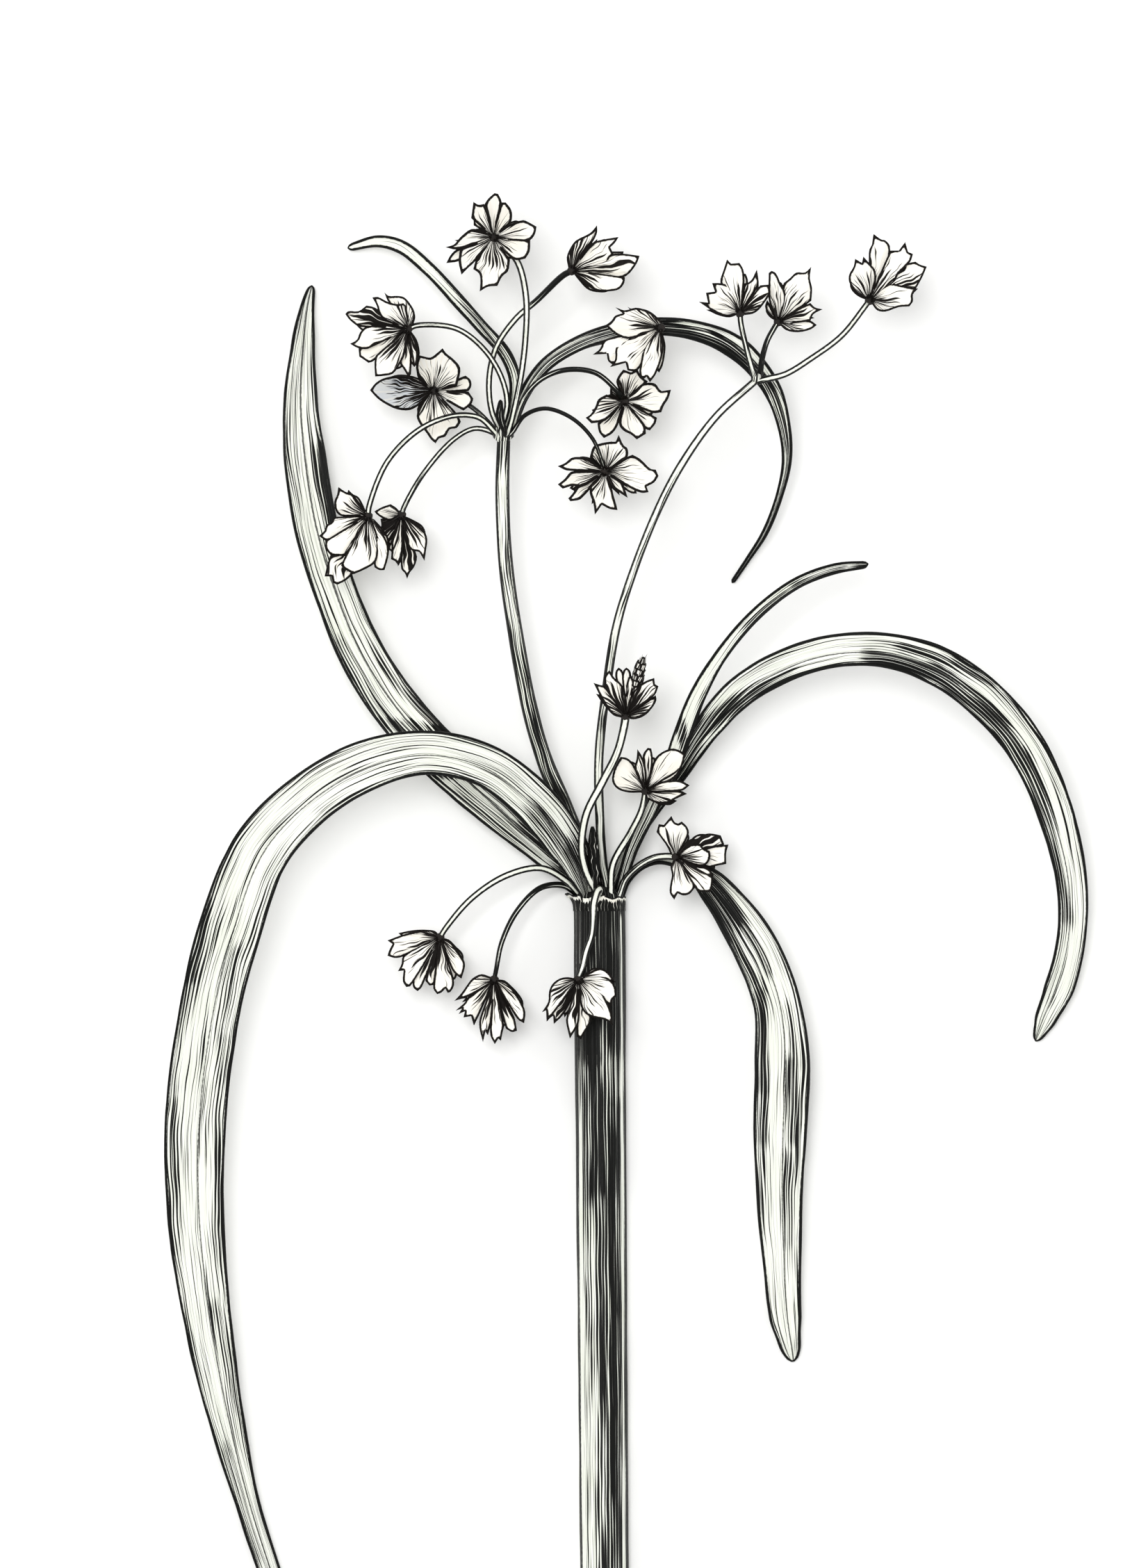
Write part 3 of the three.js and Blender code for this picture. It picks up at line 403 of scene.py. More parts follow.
            -8, -6, -26, -30, -37, -48, -45, -60, -46, -44, -52, -47, -43, -32, -42, -18, -37, -7, -26, 1,
            -14, 3, -4, 1,
        ]),
        (8, 0.5, [-2, -10, -12, -34, -23, -52, -35, -64, -36, -52, -44, -58, -38, -42, -24, -24, -7, -7]),
        (12, 0.35, [1, -16, 2, -44, 0, -64, -4, -72, -12, -85, -15, -72, -17, -58, -12, -40, -4, -14]),
        (4, 0.5, [7, -22, 19, -58, 12, -72, 4, -86, -2, -82, -1, -64, 1, -30]),
        (22, 0.0, [8, -4, 26, -8, 38, -26, 48, -48, 50, -66, 38, -58, 24, -55, 12, -50, 4, -38, 2, -16]),
        (16, 0.0, [6, 3, 18, 7, 34, 5, 47, -1, 54, -12, 55, -24, 49, -30, 49, -39, 42, -28, 34, -12, 9, -2]),
        (6, 0.0, [9, 4, 22, 13, 33, 16, 44, 10, 54, -4, 36, 3, 12, 1]),
    ]],
}

# The one scale that has greyed: its cluster, and its number there.
WEATHERED = ("cluster_inner_left", 0)

# Where a leaf's midrib lies across its width: 0 is the middle and 1 the right edge, seen from the base.
MIDRIBS = {
    "bract_long_left": -0.12,
    "bract_arching_right": 0.22,
    "bract_lower_right": -0.12,
    "umbel_bract_arching": -0.15,
}

# Stretches of painted shade and painted shadow on a piece, in mm as seen from above: x and y at both ends,
# radius and strength.
PAINTED_SHADE_STRETCHES = {
    "culm": [
        (-0.2, 3, -0.2, -19, 5.0, 1.22), (-1.5, -16, -1.3, -22, 2.0, 1.5),
        (-0.4, -19, -0.2, -40, 5.0, 0.85), (-2.0, -40, -1.6, -62, 2.4, 0.55),
        (-1.6, -62, -1.0, -124, 1.8, 0.4), (0.3, -36, 1.0, -124, 1.7, 0.72),
        (2.1, -30, 2.9, -124, 1.6, 0.98),
    ],
    "bract_long_left": [
        (-8.9, 11.2, -2.4, 3.2, 2.0, 0.62), (-3.6, 6.5, -0.8, 0.0, 1.9, 0.95),
        (-33.0, 15.6, -39.0, 12.6, 1.3, 0.5), (-57.2, -1.8, -59.0, -10.5, 1.5, 0.85),
        (-58.6, -9.0, -60.8, -26.0, 1.3, 0.5), (-52.0, -8.5, -53.8, -22.0, 1.3, 0.55),
        (-53.9, -20.5, -54.2, -25.5, 1.2, 0.7), (-54.3, -25.0, -54.5, -46.0, 1.1, 0.5),
        (-56.4, -27.8, -56.6, -36.0, 1.6, 0.4), (-61.6, -30.0, -61.4, -50.0, 1.0, 0.55),
        (-55.0, -60.0, -51.6, -73.0, 1.4, 0.5), (-53.9, -80.0, -49.7, -94.5, 1.0, 0.55),
        (-46.0, -96.0, -42.0, -112.0, 1.0, 0.45),
    ],
    "bract_upper_left": [
        (-39.4, 63.5, -37.6, 50.0, 1.7, 1.0), (-37.4, 50.0, -30.8, 35.0, 1.2, 0.55),
        (-37.6, 36.0, -30.4, 24.6, 1.4, 0.6), (-30.4, 33.2, -22.6, 23.6, 1.1, 0.45),
        (-31.0, 25.0, -22.0, 23.6, 1.4, 0.85), (-25.5, 17.9, -19.0, 18.2, 0.9, 1.0),
        (-16.4, 16.6, -10.6, 11.4, 0.9, 1.0), (-10.4, 10.2, -4.0, 3.6, 1.1, 1.0),
        (-20.0, 15.2, -9.5, 7.0, 1.4, 0.42), (-4.0, 3.6, -0.6, -0.6, 2.4, 1.0),
    ],
    "bract_arching_right": [
        (0.6, -1.0, 9.0, 15.0, 1.0, 0.55), (10.6, 17.0, 14.4, 24.2, 1.4, 1.0),
        (14.4, 24.2, 19.0, 27.6, 1.5, 0.95), (19.0, 27.6, 26.6, 31.7, 1.3, 0.62),
        (27.0, 31.6, 38.0, 33.4, 1.0, 0.5), (39.5, 34.4, 48.7, 32.0, 1.3, 0.95),
        (48.7, 32.0, 56.4, 26.0, 1.5, 0.95), (56.4, 26.0, 61.0, 19.0, 1.3, 0.9),
        (61.2, 19.4, 64.2, 11.0, 1.3, 0.8), (64.2, 11.0, 66.9, -2.0, 1.2, 0.75),
        (51.6, 34.0, 56.0, 31.6, 1.0, 0.75), (44.0, 36.0, 51.6, 34.0, 0.9, 0.5),
        (66.6, -2.0, 65.0, -14.0, 0.8, 0.4),
    ],
    "bract_short_right": [
        (1.6, -1.0, 8.0, 14.0, 1.1, 0.55), (11.4, 25.0, 12.4, 21.4, 0.9, 0.85),
        (15.0, 28.4, 13.2, 23.0, 0.8, 0.8), (21.6, 39.8, 26.0, 43.4, 0.7, 0.7),
        (28.4, 45.2, 34.0, 47.0, 0.6, 0.8), (37.6, 47.8, 38.8, 48.2, 0.7, 0.9),
    ],
    "bract_lower_right": [
        (2.0, -0.5, 8.0, 5.6, 1.0, 0.6), (15.0, 3.4, 18.4, -2.4, 2.2, 1.0),
        (14.0, 1.6, 18.2, -5.6, 1.3, 0.95), (18.0, -5.0, 21.6, -11.6, 1.3, 0.8),
        (20.0, -3.0, 24.0, -10.0, 0.9, 0.55), (22.8, -14.0, 23.2, -27.0, 1.2, 0.85),
        (23.0, -26.0, 23.2, -34.0, 1.1, 0.7), (27.2, -16.3, 28.7, -23.3, 1.1, 0.55),
        (27.6, -24.0, 27.8, -34.0, 1.1, 0.65), (28.9, -33.0, 28.7, -48.5, 0.8, 0.5),
        (27.0, -37.4, 27.0, -49.0, 0.9, 0.45), (28.5, -59.0, 28.6, -64.0, 0.7, 0.6),
    ],
    "umbel_bract_arching": [
        (-14.0, 66.0, -8.0, 76.0, 0.9, 0.55), (-8.6, 76.0, 0.5, 81.2, 1.3, 0.68),
        (0.0, 81.4, 9.6, 82.4, 1.3, 0.8), (9.6, 82.0, 17.0, 79.4, 1.3, 1.0),
        (17.0, 79.6, 23.6, 74.0, 1.4, 1.0), (24.4, 74.0, 26.6, 66.0, 0.8, 0.6),
    ],
    "umbel_bract_left": [(-18.7, 85.0, -13.2, 78.0, 0.9, 0.45), (-13.2, 78.0, -13.8, 66.0, 0.9, 0.4)],
    "umbel_bractlet": [(-14.0, 66.0, -14.3, 69.0, 0.9, 0.6)],
    "umbel_stem": [
        (-0.6, -1.0, -4.6, 11.0, 1.6, 0.95), (-4.4, 11.0, -9.9, 26.0, 1.7, 1.0),
        (-9.9, 26.0, -12.0, 37.0, 1.5, 0.9), (-12.0, 37.0, -13.1, 46.0, 1.2, 0.7),
        (-13.3, 46.0, -13.7, 58.0, 0.8, 0.45), (-13.9, 64.5, -13.9, 69.0, 2.0, 0.9),
    ],
    "ray_tall": [
        (1.0, -1.0, -0.1, 11.0, 0.8, 0.75), (0.4, 26.0, 1.8, 36.0, 0.8, 0.7),
        (21.0, 73.0, 23.5, 75.5, 0.9, 0.8),
    ],
    "ray_leaning": [(1.4, -1.0, 4.0, 9.0, 0.6, 0.4)],
    "ray_side": [(2.4, -1.0, 4.0, 3.2, 0.8, 0.5)],
    "ray_right_lower": [(-12.7, 67.0, 0.3, 62.6, 9, 0.5)],
    "ray_right_middle": [(-12.9, 67.0, -3.0, 75.8, 9, 0.4), (-3.0, 75.8, 2.5, 72.8, 9, 1.0)],
    "ray_drooping_middle": [(-3.1, 0.5, -15.0, -10.2, 9, 0.9)],
    "ray_tall_middle": [(22.8, 75.1, 24.8, 81.7, 9, 1.3)],
    "ray_top_right": [(-8.4, 86.8, -4.1, 90.2, 2, 1.3)],
}

# Swellings where branches leave a ray's tip, as x, y, z and radius, and how the branches' names start.
NODES = {
    "umbel_stem": (-14.0, 66.8, 11.9, 1.55),
    "ray_tall": (22.4, 74.6, 20.7, 0.85),
}
ON_NODE = {
    "umbel_stem": ("umbel_", "ray_top", "ray_left", "ray_inner", "ray_low", "ray_right"),
    "ray_tall": ("ray_tall_",),
}


def linear(hex_colour):
    """The linear colour, with full alpha, of an sRGB hex value."""
    parts = [int(hex_colour[i:i + 2], 16) / 255 for i in (1, 3, 5)]
    return (*[p / 12.92 if p <= 0.04045 else ((p + 0.055) / 1.055) ** 2.4 for p in parts], 1.0)


def length_setting(name, description, millimetres):
    """A length that a user can change."""
    return bpy.props.FloatProperty(
        name=name, description=description, default=millimetres * MM, min=0.0, precision=5, unit="LENGTH"
    )


def colour_setting(name, description, hex_colour):
    """A colour that a user can change."""
    return bpy.props.FloatVectorProperty(
        name=name, description=description, default=linear(hex_colour),
        size=4, min=0.0, max=1.0, subtype="COLOR",
    )


class BulrushSizes(bpy.types.PropertyGroup):
    """Sizes of the parts of the plant that its routes and outlines leave open."""

    leaf_thickness: length_setting("Leaf thickness", "How thick a leaf blade is", 0.32)
    scale_thickness: length_setting("Scale thickness", "How thick a papery scale is", 0.14)
    sheath_thickness: length_setting("Sheath thickness", "How thick the crown's torn sheath is", 0.12)
    root_length: length_setting("Root length", "How far a ray or bract reaches into what it grows from", 1.5)
    bristle_radius: length_setting("Bristle radius", "Radius of a bristle at its base", 0.13)


class BulrushColours(bpy.types.PropertyGroup):
    """Colours of the plant and of the surface that it lies on."""

    leaf_light: colour_setting("Leaf, light", "The palest green of a leaf, between its veins", "#F8F9F2")
    leaf_deep: colour_setting("Leaf, deep", "The deeper green of a leaf's veins", "#EBEFDF")
    # Dark fibres, margins and the hatching of painted shade on leaves, culm and rays all take this colour.
    fibre_and_shade: colour_setting("Leaf, fibres", "The dark fibres and margins of a leaf", "#070806")
    culm_light: colour_setting("Culm, light", "The palest green of the culm's rind", "#F7F9F1")
    culm_deep: colour_setting("Culm, deep", "The deeper green of the culm's ribs", "#E8ECDB")
    ray_light: colour_setting("Ray, light", "The pale face of a ray", "#F8F9F1")
    ray_deep: colour_setting("Ray, deep", "The greener streaks of a ray", "#EAEEDD")
    scale_light: colour_setting("Scale, light", "The papery body of a scale", "#FDFBF5")
    scale_deep: colour_setting("Scale, deep", "The straw colour between a scale's veins", "#F7F1E2")
    scale_vein: colour_setting("Scale, veins", "The dark brown veins and margins of a scale", "#0E0906")
    weathered: colour_setting("Weathered scale", "The one scale that has greyed", "#BFC9D6")
    core: colour_setting("Core", "The dark heart of a spikelet cluster", "#1E140B")
    pith: colour_setting("Pith", "The spongy inside of the cut culm", "#EFE9CF")
    floor: colour_setting("Floor", "The pale surface that the plant lies on", "#FDFDFC")


def new_material(name):
    """A material without nodes, and its tree."""
    material = bpy.data.materials.new(name)
    material.use_nodes = True
    tree = material.node_tree
    tree.nodes.clear()
    return material, tree


def add(tree, kind, inputs=None, **settings):
    """Adds a shader node to a material. inputs gives each socket a value, another node's output to link, or
    another node, whose first output is linked."""
    node = tree.nodes.new("ShaderNode" + kind)
    for name, value in settings.items():
        setattr(node, name, value)
    for socket, value in (inputs or {}).items():
        if isinstance(value, bpy.types.Node):
            value = value.outputs[0]
        if isinstance(value, bpy.types.NodeSocket):
            tree.links.new(value, node.inputs[socket])
        else:
            node.inputs[socket].default_value = value
    return node


# Fibres: the darkness at which one shows and that at which it is widest, how soft its edge is as a share of
# the gap, and how far apart two neighbours read the noise, whose values lie between its low and its high.
FIBRE_SHOWS = 0.5
FIBRE_FULL = 1.1
FIBRE_EDGE = 0.09
FIBRE_STRIDE = 3.71
NOISE_LOW = 0.25
NOISE_HIGH = 0.75


def add_threads(tree, across, along, shade, gap, run, chance, start, gain, widest):
    """Adds dark threads that run along a piece, one in each gap. Each is broken and tapers, and is about
    run long. chance says how much they differ, and start shifts them. The darker the shade, which gain
    multiplies, the more there are and the wider they get, up to widest as a share of the gap on each side.
    Gives their darkness."""
    cells = add(tree, "Math", {0: across, 1: 1 / gap, 2: start}, operation="MULTIPLY_ADD")
    cell = add(tree, "Math", {0: cells}, operation="FLOOR")
    inside = add(tree, "Math", {0: cells}, operation="FRACT")
    off = add(tree, "Math", {0: inside, 1: 0.5}, operation="SUBTRACT")
    away = add(tree, "Math", {0: off}, operation="ABSOLUTE")
    own = add(tree, "Math", {0: cell, 1: FIBRE_STRIDE, 2: start}, operation="MULTIPLY_ADD")
    gone = add(tree, "Math", {0: along, 1: 1 / run}, operation="MULTIPLY")
    spot = add(tree, "CombineXYZ", {0: own, 2: gone})
    dice = add(tree, "TexNoise", {"Vector": spot, "Scale": 1.0, "Detail": 1.5})
    luck = add(
        tree, "MapRange",
        {"Value": dice, "From Min": NOISE_LOW, "From Max": NOISE_HIGH,
         "To Min": 0.5 - chance / 2, "To Max": 0.5 + chance / 2},
    )
    strong = add(tree, "Math", {0: shade, 1: gain, 2: luck}, operation="MULTIPLY_ADD")
    half = add(
        tree, "MapRange",
        {"Value": strong, "From Min": FIBRE_SHOWS, "From Max": FIBRE_FULL, "To Max": widest},
    )
    left = add(tree, "Math", {0: half, 1: away}, operation="SUBTRACT")
    return add(tree, "MapRange", {"Value": left, "From Max": FIBRE_EDGE})


# Patterns of plant tissue, as turns of noise in a millimetre. Those with three are across, up and along it.
FINE_TURNS = (5.0, 5.0, 2.0)
BAND_TURNS = (0.9, 0.9, 0.07)
CLOUD_TURNS = 0.16
SWAY_TURNS = 0.25
SWAYS_IN_RUN = 1.6

# Thin fibres between the wide ones: their gap and their length as shares of the wide ones'.
THIN_GAP = 0.6
THIN_RUN = 0.8

# Margin and midrib: how ragged they are in mm, and the share of each that is solid. A fold of no more than
# the last width has no dark midrib.
RAGGED = 0.16
RIM_SOLID = 0.75
FOLD_SOLID = 0.5
NO_FOLD = 0.001

# Fresh or papery tissue scatters light, so its gloss is weaker than plastic's.
TISSUE_SPECULAR = 0.16


def fibrous(
    name, light, deep, fibre, *,
    gap, run, chance, sway, bands, vein_gap, rim, fold=NO_FOLD, roughness, relief,
):
    """Plant tissue with fibres along the piece. gap is the distance between them, run their length, chance
    how much they differ, sway how far they sway, and bands how unevenly they lie. vein_gap is the distance
    between veins, and rim and fold are the widths of the dark lines along margin and midrib. Lengths are in
    mm."""
    material, tree = new_material(name)
    grain = add(tree, "Attribute", attribute_name="grain").outputs["Vector"]
    marks = add(tree, "Attribute", attribute_name="marks").outputs["Vector"]
    mark = add(tree, "SeparateXYZ", {0: marks})
    apart = add(tree, "SeparateXYZ", {0: grain})
    along = apart.outputs["Z"]
    sways = (SWAY_TURNS, SWAY_TURNS, SWAYS_IN_RUN / run)
    bend_at = add(tree, "VectorMath", {0: grain, 1: sways}, operation="MULTIPLY")
    bend = add(tree, "TexNoise", {"Vector": bend_at, "Scale": 1.0, "Detail": 1.0})
    across = add(tree, "Math", {0: bend, 1: sway, 2: apart.outputs["X"]}, operation="MULTIPLY_ADD")
    fine_at = add(tree, "VectorMath", {0: grain, 1: FINE_TURNS}, operation="MULTIPLY")
    fine = add(tree, "TexNoise", {"Vector": fine_at, "Scale": 1.0, "Detail": 2.0})
    cloud = add(tree, "TexNoise", {"Vector": grain, "Scale": CLOUD_TURNS, "Detail": 2.0})

    # Dark fibres: few where the shade value is low, and closed up where it is high. On the culm, rays and
    # leaves that value is painted shade. They lie in uneven bands.
    band_at = add(tree, "VectorMath", {0: grain, 1: BAND_TURNS}, operation="MULTIPLY")
    band = add(tree, "TexNoise", {"Vector": band_at, "Scale": 1.0, "Detail": 1.0})
    uneven = add(tree, "Math", {0: band, 1: 0.5}, operation="SUBTRACT")
    shade = add(tree, "Math", {0: uneven, 1: bands, 2: mark.outputs["Z"]}, operation="MULTIPLY_ADD")
    wide = add_threads(tree, across, along, shade, gap, run, chance, start=0.3, gain=0.5, widest=0.56)
    thin = add_threads(
        tree, across, along, shade, gap * THIN_GAP, run * THIN_RUN, chance, start=7.9, gain=0.4, widest=0.42
    )

    # Margin and midrib: dark lines of uneven width.
    ragged = add(tree, "Math", {0: fine, 1: RAGGED, 2: -RAGGED / 2}, operation="MULTIPLY_ADD")
    rim_at = add(tree, "Math", {0: mark.outputs["X"], 1: ragged}, operation="ADD")
    margin = add(
        tree, "MapRange",
        {"Value": rim_at, "From Min": rim * RIM_SOLID, "From Max": rim, "To Min": 1.0, "To Max": 0.0},
    )
    fold_at = add(tree, "Math", {0: mark.outputs["Y"], 1: ragged}, operation="ADD")
    midrib = add(
        tree, "MapRange",
        {"Value": fold_at, "From Min": fold * FOLD_SOLID, "From Max": fold, "To Min": 0.9, "To Max": 0.0},
    )
    both = add(tree, "Math", {0: wide, 1: thin}, operation="MAXIMUM")
    lines = add(tree, "Math", {0: margin, 1: midrib}, operation="MAXIMUM")
    dark = add(tree, "Math", {0: both, 1: lines}, operation="MAXIMUM")

    # Veins at their real distance, and slow changes of colour over a centimetre or so.
    turns = add(tree, "Math", {0: apart.outputs["X"], 1: 2 * math.pi / vein_gap}, operation="MULTIPLY")
    wave = add(tree, "Math", {0: turns}, operation="SINE")
    veins = add(tree, "MapRange", {"Value": wave, "From Min": 0.1, "From Max": 1.0, "To Max": 0.6})
    depth = add(tree, "MapRange", {"Value": cloud, "From Min": 0.35, "From Max": 0.7, "To Max": 0.7})
    greener = add(tree, "Math", {0: veins, 1: depth}, operation="MAXIMUM")
    body = add(tree, "Mix", {0: greener, 6: light, 7: deep}, data_type="RGBA")
    colour = add(tree, "Mix", {0: dark, 6: body.outputs[2], 7: fibre}, data_type="RGBA")

    height = add(tree, "Math", {0: fine, 1: wave}, operation="ADD")
    bump = add(tree, "Bump", {"Height": height, "Strength": 0.5, "Distance": relief * MM})
    rough = add(
        tree, "MapRange",
        {"Value": fine, "From Min": 0.3, "From Max": 0.7,
         "To Min": roughness - 0.08, "To Max": roughness + 0.1},
    )
    shader = add(
        tree, "BsdfPrincipled",
        {"Base Color": colour.outputs[2], "Roughness": rough, "Normal": bump,
         "Specular IOR Level": TISSUE_SPECULAR},
    )
    add(tree, "OutputMaterial", {"Surface": shader})
    return material


def spongy(name, light, deep, cell, roughness, relief):
    """Tissue without fibres, such as pith or a spikelet's heart. cell is the size of its pores, and its
    tone changes over three of them. Lengths are in mm."""
    material, tree = new_material(name)
    place = add(tree, "TexCoord").outputs["Object"]
    pores = add(tree, "TexVoronoi", {"Vector": place, "Scale": 1 / MM / cell})
    cloud = add(tree, "TexNoise", {"Vector": place, "Scale": 0.33 / MM / cell, "Detail": 3.0})
    both = add(tree, "Math", {0: pores.outputs["Distance"], 1: cloud}, operation="ADD")
    share = add(tree, "MapRange", {"Value": both, "From Min": 0.4, "From Max": 1.3})
    colour = add(tree, "Mix", {0: share, 6: light, 7: deep}, data_type="RGBA")
    bump = add(
        tree, "Bump", {"Height": pores.outputs["Distance"], "Strength": 0.7, "Distance": relief * MM}
    )
    shader = add(
        tree, "BsdfPrincipled", {"Base Color": colour.outputs[2], "Roughness": roughness, "Normal": bump}
    )
    add(tree, "OutputMaterial", {"Surface": shader})
    return material


def spline(points, steps):
    """Points along a smooth line through the given ones, with even steps between each two of them."""
    made = []
    last = len(points) - 1
    for i in range(last * steps + 1):
        k = min(i // steps, last - 1)
        w = i / steps - k
        p1, p2 = points[k], points[k + 1]
        p0 = points[k - 1] if k > 0 else p1 * 2 - p2
        p3 = points[k + 2] if k + 2 <= last else p2 * 2 - p1
        d0, d1, d2 = [max((b - a).length, 1e-6) ** 0.5 for a, b in ((p0, p1), (p1, p2), (p2, p3))]
        t1 = ((p1 - p0) / d0 - (p2 - p0) / (d0 + d1) + (p2 - p1) / d1) * d1
        t2 = ((p2 - p1) / d1 - (p3 - p1) / (d1 + d2) + (p3 - p2) / d2) * d1
        bend = (p2 - p1) * 3 - t1 * 2 - t2
        twist = (p1 - p2) * 2 + t1 + t2
        made.append(p1 + t1 * w + bend * w * w + twist * w ** 3)
    return made


def route(points, steps):
    """A line's rings, each with its point, level side, normal and distance along, and the whole length."""
    line = spline(points, steps)
    rings = []
    gone = 0.0
    for i, point in enumerate(line):
        tangent = (line[min(i + 1, len(line) - 1)] - line[max(i - 1, 0)]).normalized()
        side = tangent.cross(UP).normalized()
        if i:
            gone += (point - line[i - 1]).length
        rings.append((point, side, side.cross(tangent).normalized(), gone))
    return rings, gone


# Roots: branches start near a point that lies a share of its radius before their node's middle. Other roots
# run nearly level.
NODE_DEPTH = 0.5
NODE_START = 0.2
ROOT_SLOPE = 0.4


def rooted(name, points, length):
    """The line with a point added before its start, so that it begins inside what it grows from."""
    for start, (x, y, z, radius) in NODES.items():
        if name.startswith(ON_NODE[start]) and name != start:
            heart = Vector((x, y - NODE_DEPTH * radius, z))
            return [heart + (points[0] - heart) * NODE_START, *points]
    back = (points[1] - points[0]).normalized() * length
    back.z *= ROOT_SLOPE
    return [points[0] - back, *points]


def between(stops, x):
    """The value at x on the straight lines between the stops, which are pairs in rising order."""
    for (x0, y0), (x1, y1) in zip(stops, stops[1:]):
        if x <= x1:
            return y0 + (y1 - y0) * (x - x0) / (x1 - x0)
    return stops[-1][1]


def smooth(x):
    """0 at 0 and below, 1 at 1 and above, and a smooth rise between."""
    x = max(0.0, min(1.0, x))
    return x * x * (3 - 2 * x)


# How far apart in the noise the wanders of two seeds lie, on each axis but their length's.
WANDER_ASIDE = 7.31
WANDER_ABOVE = 1.7


def wander(seed, along, reach):
    """A slow, even wander between -1 and 1 along a piece. Each seed reads the noise in its own place."""
    return noise.noise(Vector((seed * WANDER_ASIDE, along / reach, seed * WANDER_ABOVE)))


# How a stretch of painted shade fades: to its sides up to a share of its radius and over another share, and
# past its ends over a length in mm and a share of its radius.
STRETCH_SIDE = 1.4
STRETCH_FADE = 0.9
END_LENGTH = 1.5
END_SHARE = 1.6
END_REACH = 1.1


def darkness(name, x, y):
    """How much painted shade a piece has at a place, from its stretches of painted shade."""
    found = 0.0
    for x0, y0, x1, y1, radius, strength in PAINTED_SHADE_STRETCHES.get(name, ()):
        length = math.hypot(x1 - x0, y1 - y0)
        dx, dy = (x1 - x0) / length, (y1 - y0) / length
        along = (x - x0) * dx + (y - y0) * dy
        away = abs((y - y0) * dx - (x - x0) * dy)
        past = max(0.0, -along, along - length) / (END_LENGTH + END_SHARE * radius)
        near = smooth((STRETCH_SIDE - away / radius) / STRETCH_FADE)
        found = max(found, strength * near * smooth(END_REACH - past))
    return found


# The distance from margin or midrib, in mm, at places where neither is drawn.
FAR = 9


def new_bmesh():
    """An empty bmesh with the two layers that the materials read."""
    bm = bmesh.new()
    bm.verts.layers.float_vector.new("grain")
    bm.verts.layers.float_vector.new("marks")
    return bm


def shape(bm, first_vert, first_face, place, material):
    """Moves the vertices added since first_vert to where place puts them, and gives their faces a material.
    place gives the point, the grain (the point in the straightened piece), and the marks (distance to the
    margin, distance to the midrib, darkness), all in mm."""
    grain, marks = (bm.verts.layers.float_vector[layer] for layer in ("grain", "marks"))
    bm.verts.ensure_lookup_table()
    bm.faces.ensure_lookup_table()
    for v in bm.verts[first_vert:]:
        point, laid, marked = place(v.co.copy())
        v.co = point * MM
        v[grain] = laid
        v[marks] = marked
    for f in bm.faces[first_face:]:
        f.material_index = material
        f.smooth = True


def turn_outwards(bm, first_vert, first_face):
    """Turns the closed shape made since first_vert and first_face outwards."""
    bm.normal_update()
    bm.faces.ensure_lookup_table()
    bm.verts.ensure_lookup_table()
    near = bm.verts[first_vert].co
    faces = bm.faces[first_face:]
    volume = sum((f.calc_center_median() - near).dot(f.normal) * f.calc_area() for f in faces)
    if volume < 0:
        bmesh.ops.reverse_faces(bm, faces=faces)


def add_sheet(bm, across, along, place, material=0):
    """Adds a sheet: place(u, t) has u from -1 to 1 across and t from 0 to 1 along."""
    first_vert, first_face = len(bm.verts), len(bm.faces)
    bmesh.ops.create_grid(bm, x_segments=across, y_segments=along, size=1)
    shape(bm, first_vert, first_face, lambda co: place(co.x, (co.y + 1) / 2), material)


def add_tube(bm, sides, rings, place, capped=True):
    """Adds a tube: place(c, s, t) has the cosine and sine round it and t from 0 to 1 along."""
    first_vert, first_face = len(bm.verts), len(bm.faces)
    made = bmesh.ops.create_cone(bm, cap_ends=capped, segments=sides, radius1=1, radius2=1, depth=1)
    joined = {e for v in made["verts"] for e in v.link_edges}
    lengthwise = {e for e in joined if abs(e.verts[0].co.z - e.verts[1].co.z) > 0.5}
    bmesh.ops.subdivide_edges(bm, edges=list(lengthwise), cuts=rings - 1, use_grid_fill=True)
    shape(bm, first_vert, first_face, lambda co: place(co.x, co.y, 0.5 - co.z), 0)
    if capped:
        turn_outwards(bm, first_vert, first_face)


def add_ball(bm, place, detail, material=0):
    """Adds a ball, of which place(unit vector) moves every vertex."""
    first_vert, first_face = len(bm.verts), len(bm.faces)
    bmesh.ops.create_icosphere(bm, subdivisions=detail, radius=1)
    shape(bm, first_vert, first_face, place, material)
    turn_outwards(bm, first_vert, first_face)


def finish_piece(name, bm, materials, replaced=None, thickness=0.0):
    """Makes the object of a piece, which rides on the part's one body and may stand for a CAD node. A sheet
    gets its thickness to both sides."""
    mesh = bpy.data.meshes.new(name)
    bm.to_mesh(mesh)
    bm.free()
    for material in materials:
        mesh.materials.append(material)
    piece = bpy.data.objects.new(name, mesh)
    bpy.context.scene.collection.objects.link(piece)
    if thickness:
        wall = piece.modifiers.new("wall", "SOLIDIFY")
        wall.thickness = thickness
        wall.offset = 0.0
    if replaced:
        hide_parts(replaced)
    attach(piece, "root")


# The culm: a rounded triangle that lies on one flat side, and leans a little over its length. Its cut end
# is narrower, and the shares are of its width or height.
CULM_LENGTH = 122
CULM_WIDTH = 7.4
CULM_HEIGHT = 6.3
CULM_TIP_X = -0.15
CULM_LEAN = 0.9
CULM_MIDDLE = CULM_HEIGHT * 0.45
CULM_CUT_SHARE = 0.92
CULM_SIDES = 96
CULM_RINGS = 190

# The right half of its section, from below: its flat, its corner and its side. Each is a curve from its
# first point to its last that the two between pull. They are shares of half its width and of its height.
CURVE_STEPS = 60
CULM_CURVES = [
    ((0, 0), (0.28, 0), (0.56, 0), (0.84, 0)),
    ((0.84, 0), (1.02, 0), (1.05, 0.264), (0.95, 0.44)),
    ((0.95, 0.44), (0.75, 0.88), (0.38, 1), (0, 1)),
]

